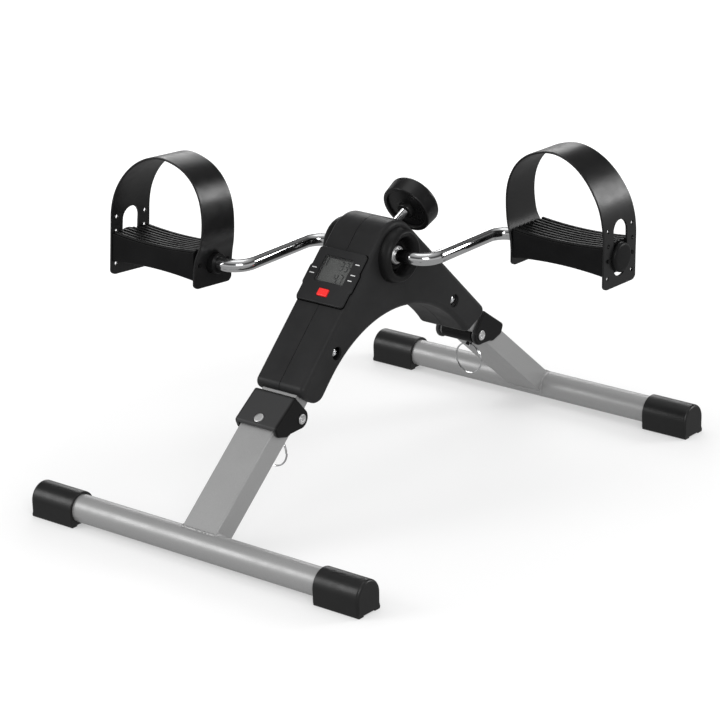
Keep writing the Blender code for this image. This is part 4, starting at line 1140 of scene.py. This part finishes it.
def world():
    """White to the camera, an even fill to matt surfaces, and a studio with a dark band in reflections."""
    made = bpy.data.worlds.new("studio")
    bpy.context.scene.world = made
    made.use_nodes = True
    tree = made.node_tree
    new, link = tree.nodes.new, tree.links.new
    background = tree.nodes["Background"]
    coords = new("ShaderNodeTexCoord")
    split = new("ShaderNodeSeparateXYZ")
    ramp = new("ShaderNodeValToRGB")
    path = new("ShaderNodeLightPath")
    link(coords.outputs["Generated"], split.inputs[0])
    link(split.outputs["Z"], ramp.inputs[0])
    stops = ramp.color_ramp.elements
    while len(stops) < len(STUDIO):
        stops.new(0.5)
    for stop, (place, value) in zip(stops, STUDIO):
        stop.position = place
        stop.color = (value, value, value, 1)
    fill = new("ShaderNodeMix")
    whole = new("ShaderNodeMix")
    for mix in (fill, whole):
        mix.data_type = "RGBA"
    link(ramp.outputs["Color"], fill.inputs[6])
    fill.inputs[7].default_value = (0.80, 0.80, 0.80, 1)
    link(path.outputs["Is Diffuse Ray"], fill.inputs[0])
    link(fill.outputs[2], whole.inputs[6])
    whole.inputs[7].default_value = (1, 1, 1, 1)
    link(path.outputs["Is Camera Ray"], whole.inputs[0])
    link(whole.outputs[2], background.inputs["Color"])
    background.inputs["Strength"].default_value = 1.0


# The floor's own light near the object and far from it (weaker near it, a broad painted shade), those two
# distances, and its light in reflections
FLOOR_GLOW = (0.36, 0.74)
FLOOR_NEAR_FAR = (0.3, 1.1)
FLOOR_MIRRORED = 0.33


def floor():
    """A white floor that glows less near the object, where the lamps light it more, leaving a broad painted
    shade there, and fades to pure white away from it; it looks grey in reflections.
    """
    bm = bmesh.new()
    bmesh.ops.create_grid(bm, x_segments=1, y_segments=1, size=12)
    mesh = bpy.data.meshes.new("floor")
    bm.to_mesh(mesh)
    bm.free()
    ground = bpy.data.objects.new("floor", mesh)
    ground.location.z = -0.0002
    bpy.context.scene.collection.objects.link(ground)
    white = (1, 1, 1, 1)
    shade = Shader("white_floor", (0.54, 0.54, 0.54), 0.8, Specular_IOR_Level=0.0, Emission_Color=white)
    distance = shade.tree.nodes.new("ShaderNodeVectorMath")
    distance.operation = "LENGTH"
    shade.link(shade.coords.outputs["Object"], distance.inputs[0])
    # Less glow near the object evens out the lamps there and greys the floor into a broad painted shade
    glow = shade.spread(distance.outputs["Value"], *FLOOR_GLOW, *FLOOR_NEAR_FAR)
    shade.link(glow, shade.base.inputs["Emission Strength"])
    path = shade.tree.nodes.new("ShaderNodeLightPath")
    mirrored_floor = shade.node("ShaderNodeEmission", Color=white, Strength=FLOOR_MIRRORED)
    choice = shade.tree.nodes.new("ShaderNodeMixShader")
    shade.link(path.outputs["Is Glossy Ray"], choice.inputs[0])
    shade.link(shade.base.outputs[0], choice.inputs[1])
    shade.link(mirrored_floor.outputs[0], choice.inputs[2])
    shade.link(choice.outputs[0], shade.tree.nodes["Material Output"].inputs["Surface"])
    mesh.materials.append(shade.material)


camera()
world()
floor()
for name, place, aim, size, watts in LAMPS:
    lamp(name, place, (0, 0, aim), size, watts)
bpy.context.scene.view_settings.view_transform = "Standard"
